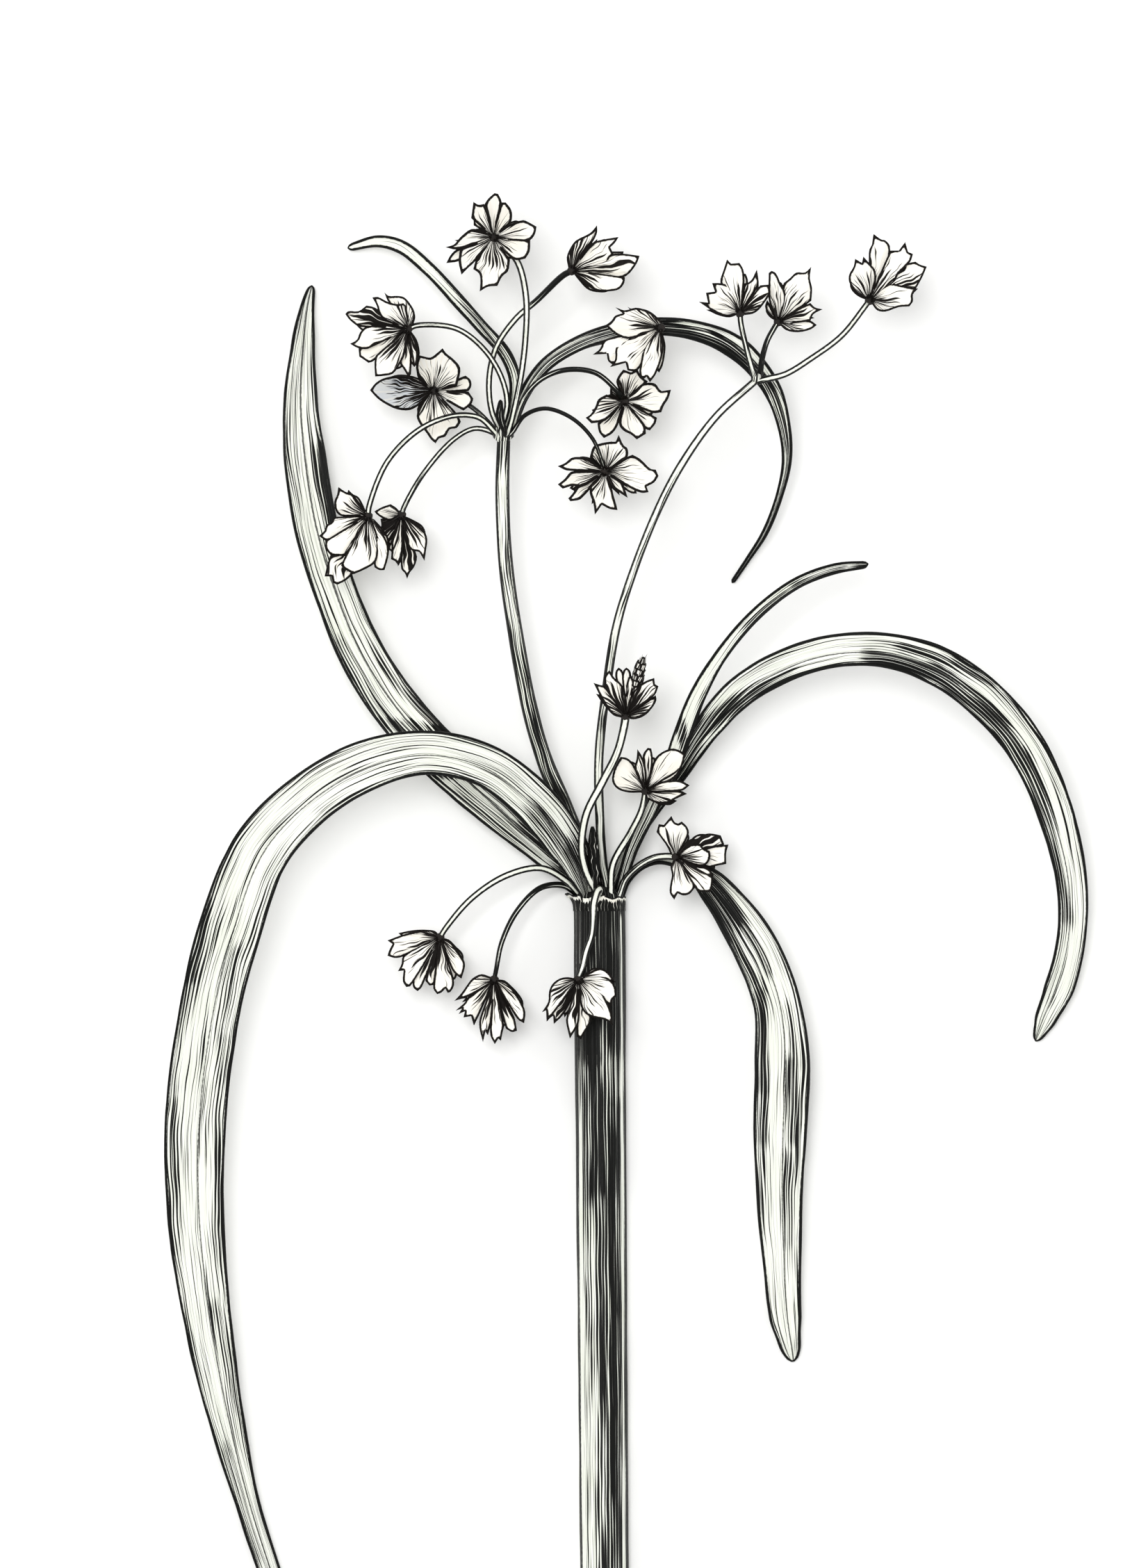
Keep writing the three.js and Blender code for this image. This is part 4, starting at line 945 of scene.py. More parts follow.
# Its ribs, and how its edges waver: how high or how far, over what length in mm, and the seed of each. The
# edges are what lies further out than this cosine.
CULM_RIBS = 30
CULM_RIB_SHARE = 0.008
CULM_RIB_LENGTH = 30
CULM_RIB_SEED = 3
CULM_EDGE_WANDER = 0.1
CULM_EDGE_LENGTH = 9
CULM_EDGE_FROM = 0.4
RIGHT_EDGE_SEED = 5
LEFT_EDGE_SEED = 6

# The cut: how wide the rind's and the pith's rims are as shares, how deep the pith is sunk, and below how
# many such depths from the end a face belongs to the cut, and above how many to the pith.
RIND_SHARE = 0.93
PITH_SHARE = 0.9
PITH_DEPTH = 0.25
CUT_BELOW = 1.1
PITH_ABOVE = 0.2

# The darkness from which the culm is dark all over, as round its cut end.
FULL_SHADE = 1.5

# Heights on the culm from which it has ribs, its sides as seen from above get a dark outline of painted
# shade, and its ribs lift its top.
RIBS_FROM = 0.3
OUTLINE_SHADE_FROM = 1.6
TOP_FROM = 3

# The crown: the culm's domed tip, in the shade of what grows from it.
CROWN_HEIGHT = 2.0
DOME_HEIGHT = CROWN_HEIGHT * 1.04
DOME_LEAST = 0.25
CROWN_SHADE = 0.9
CROWN_SHADE_START = -0.6
CROWN_SHADE_LENGTH = 0.8

# Pale strips beside the culm's edges, where its painted shade is lifted: how far in, how wide and how pale
# they are, and how far below the tip each starts.
STRIP_INSET = 0.6
STRIP_HALF = 0.3
STRIP_PALE = 1.2
RIGHT_STRIP_START = 2
LEFT_STRIP_START = 27
LEFT_STRIP_FADE = 8

# The torn sheath round the crown. Its left side is longer and bent outwards, and it stays off the surface.
# Its top is ragged in waves and frayed in finer ones. Its rim is dark to the right of a cosine, and where
# it is torn. Painted shade darkens it below, and it gets pale near its top, over a share of its length and
# as raggedly.
SHEATH_START = -1.8
SHEATH_LENGTH = 2.0
SHEATH_RINGS = 16
SHEATH_FLARE = 0.015
SHEATH_LIFT = 0.02
SHEATH_RAGGED = 0.3
RAGGED_WAVES = 3
RAGGED_SEED = 5
SHEATH_FRAYED = 0.1
FRAYED_WAVES = 9
FRAYED_SEED = 2
SHEATH_SHADE = 1.3
SHEATH_PALE = 0.1
SHEATH_PALE_FROM = 0.88
SHEATH_PALE_FADE = 0.3
SHEATH_PALE_RAGGED = 0.3
RIM_RIGHT_OF = 0.15
RIM_TORN_FROM = 0.2
TEAR_FROM = 0.75
TEAR_LENGTH = 0.5
TEAR_FLARE = 0.33
SHEATH_LEAST_Z = 0.1

# The husk that stands up from the crown, dark all over with painted shade: its grid, where it starts and how
# far it reaches, its half width at its ends and what its middle adds to that, how soon it widens, and how
# far its edges hang down.
HUSK_COLUMNS = 8
HUSK_ROWS = 30
HUSK_START = (-0.75, 1.0, 6.9)
HUSK_REACH = (-0.4, 9.4, 2.8)
HUSK_END_HALF = 0.12
HUSK_MORE_HALF = 0.72
HUSK_WIDENING = 0.7
HUSK_ARCH = 0.5
HUSK_SHADE = 1.3


def culm_outline(count):
    """Points at even distances round the culm's section, from the middle of its flat side."""
    right = []
    for curve in CULM_CURVES:
        for i in range(CURVE_STEPS):
            w = i / CURVE_STEPS
            pulls = ((1 - w) ** 3, 3 * w * (1 - w) ** 2, 3 * w * w * (1 - w), w ** 3)
            x, y = (sum(pull * point[axis] for pull, point in zip(pulls, curve)) for axis in (0, 1))
            right.append(Vector((x * CULM_WIDTH / 2, y * CULM_HEIGHT)))
    right.append(Vector((0, CULM_HEIGHT)))
    ring = right + [Vector((-p.x, p.y)) for p in reversed(right[1:-1])] + [right[0]]
    gone = [0.0]
    for p, q in zip(ring, ring[1:]):
        gone.append(gone[-1] + (q - p).length)
    made = []
    k = 0
    for i in range(count):
        wanted = gone[-1] * i / count
        while gone[k + 1] < wanted:
            k += 1
        w = (wanted - gone[k]) / (gone[k + 1] - gone[k])
        made.append(ring[k].lerp(ring[k + 1], w))
    return made


def round_culm(outline, c, s):
    """The outline's point in the direction with that cosine and sine: straight down is its first."""
    turn = (math.atan2(s, c) / (2 * math.pi) + 0.25) % 1
    first = round(turn * len(outline)) % len(outline)
    return outline[first], first * (outline[1] - outline[0]).length


def build_culm(colours, outline):
    """Builds the culm, with its cut end and the crown that everything grows from."""
    # Rind: the living skin of a sedge stem, waxy, with fibres that run its whole length. It looks satin and
    # finely lined. Its fibres lie 0.1 to 0.2 mm apart in life, and are drawn 0.5 mm apart to show.
    # Its fibres close up where painted shade lies; its sides seen from above get a painted-shade outline.
    rind = fibrous(
        "sedge_culm_rind", colours.culm_light, colours.culm_deep, colours.fibre_and_shade,
        gap=0.5, run=16.0, chance=0.8, sway=0.45, bands=0.3, vein_gap=0.8, rim=0.36,
        roughness=0.5, relief=0.05,
    )
    # Pith: air-filled tissue inside the stem, cut with a knife. It looks dry, matt and full of pores.
    pith = spongy("culm_pith", colours.pith, colours.culm_deep, cell=0.5, roughness=0.85, relief=0.12)
    last_ring = CULM_RINGS - 2
    cut_shares = {last_ring + 1: RIND_SHARE, CULM_RINGS: PITH_SHARE}

    def place(c, s, t):
        ring = round(t * CULM_RINGS)
        along = CROWN_HEIGHT - (CULM_LENGTH + CROWN_HEIGHT) * min(1.0, ring / last_ring)
        inner = cut_shares.get(ring, 1.0)
        below = max(0.0, -along) / CULM_LENGTH
        taper = 1 - (1 - CULM_CUT_SHARE) * below
        dome = 1.0
        if along > 0:
            dome = max(DOME_LEAST, math.sqrt(max(0.0, 1 - (along / DOME_HEIGHT) ** 2)))
        at, girth = round_culm(outline, c, s)
        turn = math.atan2(s, c)
        waver = wander(CULM_RIB_SEED, along, CULM_RIB_LENGTH)
        ribs = 1 + CULM_RIB_SHARE * math.sin(turn * CULM_RIBS + waver) * (at.y > RIBS_FROM)
        side_seed = RIGHT_EDGE_SEED if c > 0 else LEFT_EDGE_SEED
        edge = CULM_EDGE_WANDER * wander(side_seed, along, CULM_EDGE_LENGTH) * (abs(c) > CULM_EDGE_FROM)
        x = (at.x * taper * dome * ribs + edge * (1 if c > 0 else -1)) * inner
        lifted = 1 + (ribs - 1) * (at.y > TOP_FROM)
        z = max(0.0, CULM_MIDDLE + (at.y - CULM_MIDDLE) * dome * lifted * inner)
        spread = CULM_WIDTH / 2 * taper * dome
        sunk = PITH_DEPTH * (ring == CULM_RINGS)
        point = Vector((CULM_TIP_X + CULM_LEAN * below + x, along + sunk, z))
        # Painted shade and painted shadow from the dark stretches and the crown's shade, lifted in the pale
        # strips.
        crown = CROWN_SHADE * smooth((along - CROWN_SHADE_START) / CROWN_SHADE_LENGTH)
        shade = max(darkness("culm", point.x, along), crown)
        strip = smooth(1 - abs(spread - abs(x) - STRIP_INSET) / STRIP_HALF)
        if x > 0:
            shade -= STRIP_PALE * strip * smooth(-along - RIGHT_STRIP_START)
        else:
            shade -= STRIP_PALE * strip * smooth((-along - LEFT_STRIP_START) / LEFT_STRIP_FADE)
        if ring >= last_ring:
            shade = FULL_SHADE
        # The sides as seen from above get a dark outline of painted shade.
        margin = max(0.0, spread - abs(x)) if at.y > OUTLINE_SHADE_FROM else FAR
        return point, (girth, 0, along), (0.0 if shade >= FULL_SHADE else margin, FAR, shade)

    bm = new_bmesh()
    add_tube(bm, CULM_SIDES, CULM_RINGS, place)
    for f in bm.faces:
        depth = f.calc_center_median().y / MM + CULM_LENGTH
        if depth < PITH_DEPTH * CUT_BELOW:
            f.smooth = False
            f.material_index = 1 if depth > PITH_DEPTH * PITH_ABOVE else 0
    finish_piece("culm_tissue", bm, [rind, pith], "culm")


def build_sheath(sizes, colours, outline):
    """Builds the torn sheath round the crown, and the husk that stands up from it, dark with painted shade.
    """
    # Sheath: the dry, papery base of the bracts, torn. It looks pale, thin and ragged at its top.
    paper = fibrous(
        "torn_leaf_sheath", colours.ray_light, colours.scale_deep, colours.fibre_and_shade,
        gap=0.5, run=3.0, chance=0.8, sway=1.2, bands=0.0, vein_gap=0.6, rim=0.22,
        roughness=0.7, relief=0.04,
    )

    def wrap(c, s, t):
        ragged = SHEATH_RAGGED * noise.noise(Vector((c * RAGGED_WAVES, s * RAGGED_WAVES, RAGGED_SEED)))
        ragged += SHEATH_FRAYED * noise.noise(Vector((c * FRAYED_WAVES, s * FRAYED_WAVES, FRAYED_SEED)))
        torn = smooth((-c - TEAR_FROM) / (1 - TEAR_FROM))
        along = SHEATH_START + (SHEATH_LENGTH + ragged + TEAR_LENGTH * torn) * t
        at, girth = round_culm(outline, c, s)
        away = 1.0 + SHEATH_FLARE * t + TEAR_FLARE * torn * t ** 3
        z = max(SHEATH_LEAST_Z, CULM_MIDDLE + (at.y - CULM_MIDDLE) * (1.0 + SHEATH_LIFT * t))
        margin = (1 - t) * SHEATH_LENGTH if c > RIM_RIGHT_OF or torn > RIM_TORN_FROM else FAR
        # Painted shade below, fading out under the ragged top.
        pale_from = SHEATH_PALE_FROM - t + SHEATH_PALE_RAGGED * ragged
        shade = SHEATH_SHADE * smooth(pale_from / SHEATH_PALE_FADE) - SHEATH_PALE
        return Vector((CULM_TIP_X + at.x * away, along, z)), (girth, 0, along), (margin, FAR, shade)

    def husk(u, t):
        half = HUSK_END_HALF + HUSK_MORE_HALF * math.sin(math.pi * t) ** HUSK_WIDENING
        x, y, z = (start + reach * t for start, reach in zip(HUSK_START, HUSK_REACH))
        point = Vector((x + u * half, y, z - HUSK_ARCH * u * u))
        # Dark all over with painted shade.
        return point, (u * half, 0, HUSK_REACH[1] * t), ((1 - abs(u)) * half, FAR, HUSK_SHADE)

    bm = new_bmesh()
    add_tube(bm, CULM_SIDES, SHEATH_RINGS, wrap, capped=False)
    add_sheet(bm, HUSK_COLUMNS, HUSK_ROWS, husk)
    finish_piece("crown_sheath", bm, [paper], thickness=sizes.sheath_thickness)


class BULRUSH_OT_culm(bpy.types.Operator):
    """Builds the culm, with its cut end and the crown that everything grows from, and the torn sheath"""

    bl_idname = "bulrush.culm"
    bl_label = "Culm"

    def execute(self, context):
        outline = culm_outline(CULM_SIDES)
        build_culm(context.scene.bulrush_colours, outline)
        build_sheath(context.scene.bulrush_sizes, context.scene.bulrush_colours, outline)
        return {"FINISHED"}


# Each piece's fibres start this far from those of the one before it, so that no two pieces look the same.
SEED_STEP = 9.0

# Rays: three-sided and ribbed, thicker at the root, with painted shade at the root and at the neck under the
# cluster, and a little less painted shade overall. Their corners are turned from the right, and their sides
# as seen from above get a dark outline of painted shade above a sine, so not underneath.
RAY_SIDES = 18
STEM_SIDES = 28
RAY_STEPS = 9
RAY_CORNERS = 3
RAY_CORNER_SHARE = 0.05
RAY_CORNER_TURN = 1.5
RAY_SIDE_SHADE_ABOVE = -0.3
RAY_RIBS = 11
RAY_RIB_SHARE = 0.025
RAY_WANDER_SHARE = 0.06
RAY_WANDER_LENGTH = 6
ROOT_SWELLING = 0.3
ROOT_LENGTH = 1.4
RAY_ROOT_SHADE = 0.75
RAY_ROOT_SHADE_LENGTH = 2.6
NECK_SHADE = 0.5
NECK_SHADE_LENGTH = 2.0
RAY_PALE = 0.15


def add_ray(bm, name, base_radius, tip_radius, stations, sizes, sides, seed):
    """Adds a stalk, slightly three-sided and ribbed, from inside what it grows from to inside its
    cluster."""
    points = rooted(name, [Vector(p) for p in stations], sizes.root_length / MM)
    head = CLUSTERS.get(name.replace("ray_", "cluster_"))
    if head:
        points.append(Vector(head[0]))
    rings, whole = route(points, RAY_STEPS)

    def place(c, s, t):
        point, side, normal, along = rings[round(t * (len(rings) - 1))]
        turn = math.atan2(s, c)
        radius = base_radius + (tip_radius - base_radius) * (along / whole)
        thinner = RAY_WANDER_SHARE * wander(seed, along, RAY_WANDER_LENGTH)
        radius *= 1 + ROOT_SWELLING * math.exp(-along / ROOT_LENGTH) + thinner
        corners = RAY_CORNER_SHARE * math.cos(RAY_CORNERS * turn + RAY_CORNER_TURN)
        radius *= 1 + corners + RAY_RIB_SHARE * math.cos(RAY_RIBS * turn)
        at = point + side * (c * radius) + normal * (s * radius)
        # Painted shade at the root, at the neck under the cluster and in the dark stretches.
        root = RAY_ROOT_SHADE * smooth(1 - along / RAY_ROOT_SHADE_LENGTH)
        neck = NECK_SHADE * smooth(1 - (whole - along) / NECK_SHADE_LENGTH)
        shade = max(darkness(name, at.x, at.y), root, neck) - RAY_PALE
        girth = math.atan2(c, s) * radius
        # The sides as seen from above get a dark outline of painted shade, but not the underside.
        margin = radius * (1 - abs(c)) if s > RAY_SIDE_SHADE_ABOVE else FAR
        return at, (girth + seed * SEED_STEP, 0, along), (margin, FAR, shade)

    add_tube(bm, sides, len(rings) - 1, place)


# Swellings: their length as a share of their width, how high their bumps are as a share and how many there
# are in a radius, and their painted shade, which is darker at their left and right sides as an outline.
SWELLING_LENGTH = 0.85
SWELLING_BUMPS = 0.1
BUMPS_IN_RADIUS = 2.5
SWELLING_SHADE = 0.6


def add_swelling(bm, x, y, z, radius):
    """Adds the knobbly swelling that a ray's branches leave from."""

    def place(co):
        bumps = 1 + SWELLING_BUMPS * noise.noise(co * BUMPS_IN_RADIUS)
        form = Vector((co.x * radius, co.y * radius * SWELLING_LENGTH, co.z * radius))
        at = Vector((x, y, z)) + form * bumps
        # Painted shade all over, with a dark outline of it at the left and right sides.
        return at, (co.x * radius, 0, co.y * radius), (radius * (1 - abs(co.x)), FAR, SWELLING_SHADE)

    add_ball(bm, place, detail=3)


class BULRUSH_OT_rays(bpy.types.Operator):
    """Builds the rays: the stalks that carry the clusters, and the thick one that carries the umbel"""

    bl_idname = "bulrush.rays"
    bl_label = "Rays"

    def execute(self, context):
        sizes, colours = context.scene.bulrush_sizes, context.scene.bulrush_colours
        # Skin of a ray: smooth, fresh and nearly bare of fibres, with painted shade along each side as seen
        # from above. It looks pale and satin. Its few fibres are drawn 0.42 mm apart, which is coarser than
        # in life, to show, and close up where painted shade lies.
        skin = fibrous(
            "umbel_ray_skin", colours.ray_light, colours.ray_deep, colours.fibre_and_shade,
            gap=0.42, run=12.0, chance=1.0, sway=1.0, bands=0.2, vein_gap=0.7, rim=0.33,
            roughness=0.45, relief=0.03,
        )
        for seed, (name, (base_radius, tip_radius, stations)) in enumerate(RAYS.items()):
            bm = new_bmesh()
            sides = STEM_SIDES if name == "umbel_stem" else RAY_SIDES
            add_ray(bm, name, base_radius, tip_radius, stations, sizes, sides, seed + 1)
            if name in NODES:
                add_swelling(bm, *NODES[name])
            finish_piece(name + "_tissue", bm, [skin], name)
        return {"FINISHED"}


# Leaf blades: how deep the fold along the midrib is and how softly it turns, as shares of the width, and
# how thick a blade is that isn't folded together. Ribs and waves are full from the last half width.
FOLD_DEPTH = 0.16
FOLD_SOFTNESS = 0.16
BLADE_PLAIN = 0.6
BLADE_LEAST_WIDTH = 0.3
BLADE_COLUMNS = 44
BLADE_STEPS = 14
RIB_HEIGHT = 0.04
RIB_GAP = 0.8
RIBBED_HALF = 1.5

# How far a blade's edges wave up and down, and in and out, per mm of half width, over what length, and
# with which power of the distance from the middle.
EDGE_LIFT = 0.16
EDGE_LIFT_LENGTH = 9
EDGE_SWAY = 0.07
EDGE_SWAY_LENGTH = 5
EDGE_POWER = 4

# Blades that are wide enough, in mm, for more columns, for a dark midrib and for painted shade: a little all
# over, and more along their sides from a share of the half width on, over another. Every blade has painted
# shade at its root, over a length in mm.
WIDE_FOR_COLUMNS = 4
WIDE_FOR_MIDRIB = 3.2
WIDE_FOR_SIDES = 3
BLADE_ROOT_SHADE = 0.8
BLADE_ROOT_SHADE_LENGTH = 3.0
BLADE_SHADE = 0.1
BLADE_SIDE_SHADE = 0.35
BLADE_SIDE_FROM = 0.35
BLADE_SIDE_FADE = 0.6

# A blade's tip is round over this many half widths, and no narrower than the root of this share. Its dark
# margin is this much narrower there, in mm.
TIP_LENGTH = 1.6
TIP_LEAST = 0.03
TIP_MARGIN = 0.05


def add_blade(bm, name, stations, sizes, seed):
    """Adds a leaf blade: folded along its midrib, with softly wavy edges and a rounded tip."""
    points = rooted(name, [Vector(s[:3]) for s in stations], sizes.root_length / MM)
    spans = [Vector((s[3], s[4] if len(s) > 4 else BLADE_PLAIN, 0)) for s in [stations[0], *stations]]
    rings, whole = route(points, BLADE_STEPS)
    spans = spline(spans, BLADE_STEPS)
    widest = max(s.x for s in spans)
    midrib = MIDRIBS.get(name, 0.0)
    edge_rise = math.sqrt(1 + FOLD_SOFTNESS ** 2) - FOLD_SOFTNESS

    def place(u, t):
        k = round(t * (len(rings) - 1))
        point, side, normal, along = rings[k]
        half = max(spans[k].x, BLADE_LEAST_WIDTH) / 2
        left = whole - along
        half *= math.sqrt(max(TIP_LEAST, 1 - max(0.0, 1 - left / (half * TIP_LENGTH)) ** 2))
        depth = half * 2 * FOLD_DEPTH + max(0.0, spans[k].y - BLADE_PLAIN)
        share = (u - midrib) / (1 - midrib) if u > midrib else (midrib - u) / (1 + midrib)
        rise = (math.sqrt(share ** 2 + FOLD_SOFTNESS ** 2) - FOLD_SOFTNESS) / edge_rise
        edge = abs(u) ** EDGE_POWER * min(half, RIBBED_HALF)
        right = u > 0
        lift = depth * rise + EDGE_LIFT * edge * wander(seed + 40 * right, along, EDGE_LIFT_LENGTH)
        sway = EDGE_SWAY * edge * wander(seed + 20 * right, along, EDGE_SWAY_LENGTH)
        out = u * half + math.copysign(sway, u)
        lift += RIB_HEIGHT * math.cos(2 * math.pi * u * half / RIB_GAP) * min(1.0, half / RIBBED_HALF)
        at = point + side * out + normal * lift
        # Painted shade at the root, in the dark stretches, and along the sides of wide blades.
        root = BLADE_ROOT_SHADE * smooth(1 - along / BLADE_ROOT_SHADE_LENGTH)
        shade = max(darkness(name, at.x, at.y), root)
        if widest > WIDE_FOR_SIDES:
            beside = smooth((abs(u) - BLADE_SIDE_FROM) / BLADE_SIDE_FADE)
            shade = max(shade, BLADE_SHADE + BLADE_SIDE_SHADE * beside)
        fold = abs(u - midrib) * half if widest > WIDE_FOR_MIDRIB else FAR
        margin = min((1 - abs(u)) * half, left + TIP_MARGIN)
        return at, (u * widest / 2 + seed * SEED_STEP, 0, along), (margin, fold, shade)

    columns = BLADE_COLUMNS if widest > WIDE_FOR_COLUMNS else BLADE_COLUMNS // 2
    add_sheet(bm, columns, len(rings) - 1, place)


class BULRUSH_OT_bracts(bpy.types.Operator):
    """Builds the leafy bracts: five at the culm's tip and three at the upper umbel"""

    bl_idname = "bulrush.bracts"
    bl_label = "Bracts"

    def execute(self, context):
        sizes, colours = context.scene.bulrush_sizes, context.scene.bulrush_colours
        # Leaf blade of a sedge: tough, with parallel veins half a millimetre apart and a rough dark margin.
        # It looks satin, and finely lined along its length. The fibres between its veins are drawn 0.48 mm
        # apart, coarser than in life.
        # Its fibres close up where painted shade lies.
        blade = fibrous(
            "sedge_leaf_blade", colours.leaf_light, colours.leaf_deep, colours.fibre_and_shade,
            gap=0.48, run=18.0, chance=0.8, sway=1.15, bands=0.5, vein_gap=0.55, rim=0.36, fold=0.16,
            roughness=0.52, relief=0.05,
        )
        for seed, (name, stations) in enumerate(BLADES.items()):
            bm = new_bmesh()
            add_blade(bm, name, stations, sizes, seed + 1)
            finish_piece(name + "_tissue", bm, [blade], name, sizes.leaf_thickness)
        return {"FINISHED"}


# Scales: how near the middle one starts, its grid, and how its darkness falls from its base to its tip, as
# pairs of the share of its length and the darkness.
SCALE_START = 0.06
SCALE_STEPS = 3
SCALE_ROWS = 14
SCALE_SHADES = [(0, 1.1), (0.15, 0.8), (0.35, 0.42), (0.55, 0.15), (0.72, -0.25), (1, -0.9)]
SHARP_TURN = math.radians(48)
LEAST_TURN = 0.004

# The form of a scale: its sag and its curl as shares of its length, its hollow and its ripples as shares of
# its half width, and its keel in mm.
SCALE_SAG = 0.07
SCALE_HOLLOW = 0.5
SCALE_RIPPLE = 0.08
RIPPLES_ALONG = 9
RIPPLES_ACROSS = 3
RIPPLE_PHASES = (0, 6)
SCALE_CURLS = (-0.02, 0.07)
KEEL_HEIGHT = 0.1
KEEL_SHARPNESS = 5

# Veins fan out from a scale's base, and their distance is right at this radius. Those of the next scale
# start a step further on, in mm.
FAN_RADIUS = 3.5
SCALE_SEED_STEP = 5.3


def heading_of(heading, lift):
    """The unit vector that points along a heading and above the level by a lift, both in degrees."""
    turn, rise = math.radians(heading), math.radians(lift)
    return Vector((math.cos(rise) * math.cos(turn), math.cos(rise) * math.sin(turn), math.sin(rise)))


def scale_edge(corners, turned=0.0, size=1.0):
    """The edge in mm through a scale's corners: smooth, but with its sharp corners kept. Seen from the
    middle, no point is further round than the next one nearer the tip, so a sheet spun out to it can't fold
    over."""
    swing = Matrix.Rotation(math.radians(turned), 3, "Z")
    points = [swing @ Vector((x, y, 0)) * size / 10 for x, y in zip(corners[::2], corners[1::2])]
    edge, run = [], points[:1]
    for i in range(1, len(points)):
        run.append(points[i])
        last = i == len(points) - 1
        if last or (points[i + 1] - points[i]).angle(points[i] - points[i - 1]) > SHARP_TURN:
            edge += spline(run, SCALE_STEPS)[1 if edge else 0:]
            run = [points[i]]
    tip = max(range(len(edge)), key=lambda i: edge[i].length)
    axis = edge[tip].normalized()
    side = axis.cross(UP)
    turns = [math.atan2(p.dot(side), p.dot(axis)) for p in edge]
    for i in range(tip + 1, len(edge)):
        turns[i] = max(turns[i], turns[i - 1] + LEAST_TURN)
    for i in range(tip - 1, -1, -1):
        turns[i] = min(turns[i], turns[i + 1] - LEAST_TURN)
    return [(axis * math.cos(a) + side * math.sin(a)) * p.length for a, p in zip(turns, edge)]


def off_edge(point, edge):
    """How far a point is from the nearest piece of an edge, as seen from above."""
    least = FAR
    for a, b in zip(edge, edge[1:]):
        step = b - a
        share = max(0.0, min(1.0, (point - a).dot(step) / max(step.length_squared, 1e-9)))
        least = min(least, (point - a - step * share).length)
    return least


def add_scale(bm, centre, edge, lift, cup, tone, seed, material=0):
    """Adds one papery scale inside the edge, which is seen from above. cup above 0 hollows it upwards, and
    below 0 arches it. tone makes it darker."""
    axis = (sum(edge, Vector()) / len(edge)).normalized()
    side = axis.cross(UP)
    reach = max(p.dot(axis) for p in edge)
    half = max(abs(p.dot(side)) for p in edge)
    rise = math.tan(math.radians(lift))
    luck = random.Random(seed)
    curl, phase = luck.uniform(*SCALE_CURLS), luck.uniform(*RIPPLE_PHASES)

    def place(u, t):
        rim_point = edge[round((u + 1) / 2 * (len(edge) - 1))]
        flat = rim_point * (SCALE_START + (1 - SCALE_START) * t)
        along, across = flat.dot(axis), flat.dot(side) / half
        share = max(0.0, min(1.0, along / reach))
        bell = math.sin(math.pi * share)
        hollow = cup * SCALE_HOLLOW * half * across * across * bell ** 0.5
        ripple = SCALE_RIPPLE * half * math.sin(phase + RIPPLES_ALONG * share + RIPPLES_ACROSS * across)
        z = rise * along - cup * SCALE_SAG * reach * bell + hollow
        z += curl * reach * share ** 3 + ripple * across * across * t
        z -= KEEL_HEIGHT * math.exp(-(across * KEEL_SHARPNESS) ** 2) * bell * cup
        at = centre + flat + UP * z
        shade = between(SCALE_SHADES, flat.length / reach) + tone
        turn = math.atan2(rim_point.dot(side), rim_point.dot(axis))
        laid = (turn * FAN_RADIUS + seed * SCALE_SEED_STEP, 0, flat.length)
        return at, laid, (off_edge(flat, edge), FAR, shade)

    add_sheet(bm, len(edge) - 1, SCALE_ROWS, place, material)


# A bristle's grid, and how many times its radius it measures at its base, so that its tip is blunt.
BRISTLE_SIDES = 5
BRISTLE_RINGS = 3
BRISTLE_BASE = 1.05


def add_bristle(bm, centre, direction, length, radius):
    """Adds one bristle, which tapers to its tip."""
    side = direction.cross(UP).normalized()
    normal = side.cross(direction).normalized()

    def place(c, s, t):
        thick = radius * (BRISTLE_BASE - t)
        at = centre + direction * (length * t) + side * (c * thick) + normal * (s * thick)
        return at, (c * thick, s * thick, length * t), (FAR, FAR, 1)

    add_tube(bm, BRISTLE_SIDES, BRISTLE_RINGS, place)


# The long spikelet of the upright cluster: where it points in degrees, from where to where it reaches and
# how wide it is, its scales, how far they stand out, how much it narrows and how much narrower than others'
# its scales' dark margins are, and its bristles.
SPIKELET_CLUSTER = "cluster_upright"
SPIKELET_HEADING = 73
SPIKELET_LIFT = 14
SPIKELET_START = 4.0
SPIKELET_END = 9.2
SPIKELET_WIDTH = 1.9
SPIKELET_ROWS = 6
SPIKELET_ROUND = 5
SPIKELET_BODY = 0.86
SPIKELET_STEP = 0.26
SPIKELET_TAPER = 0.2
SPIKELET_MARGIN = 0.05
SPIKELET_SHADE = 0.55
SPIKELET_BRISTLES = 12
SPIKELET_BRISTLE_STARTS = (6.0, 8.0)
SPIKELET_BRISTLE_TURNS = (-26, 26)
SPIKELET_BRISTLE_LIFTS = (-20, 26)
SPIKELET_BRISTLE_LENGTH = 2.0


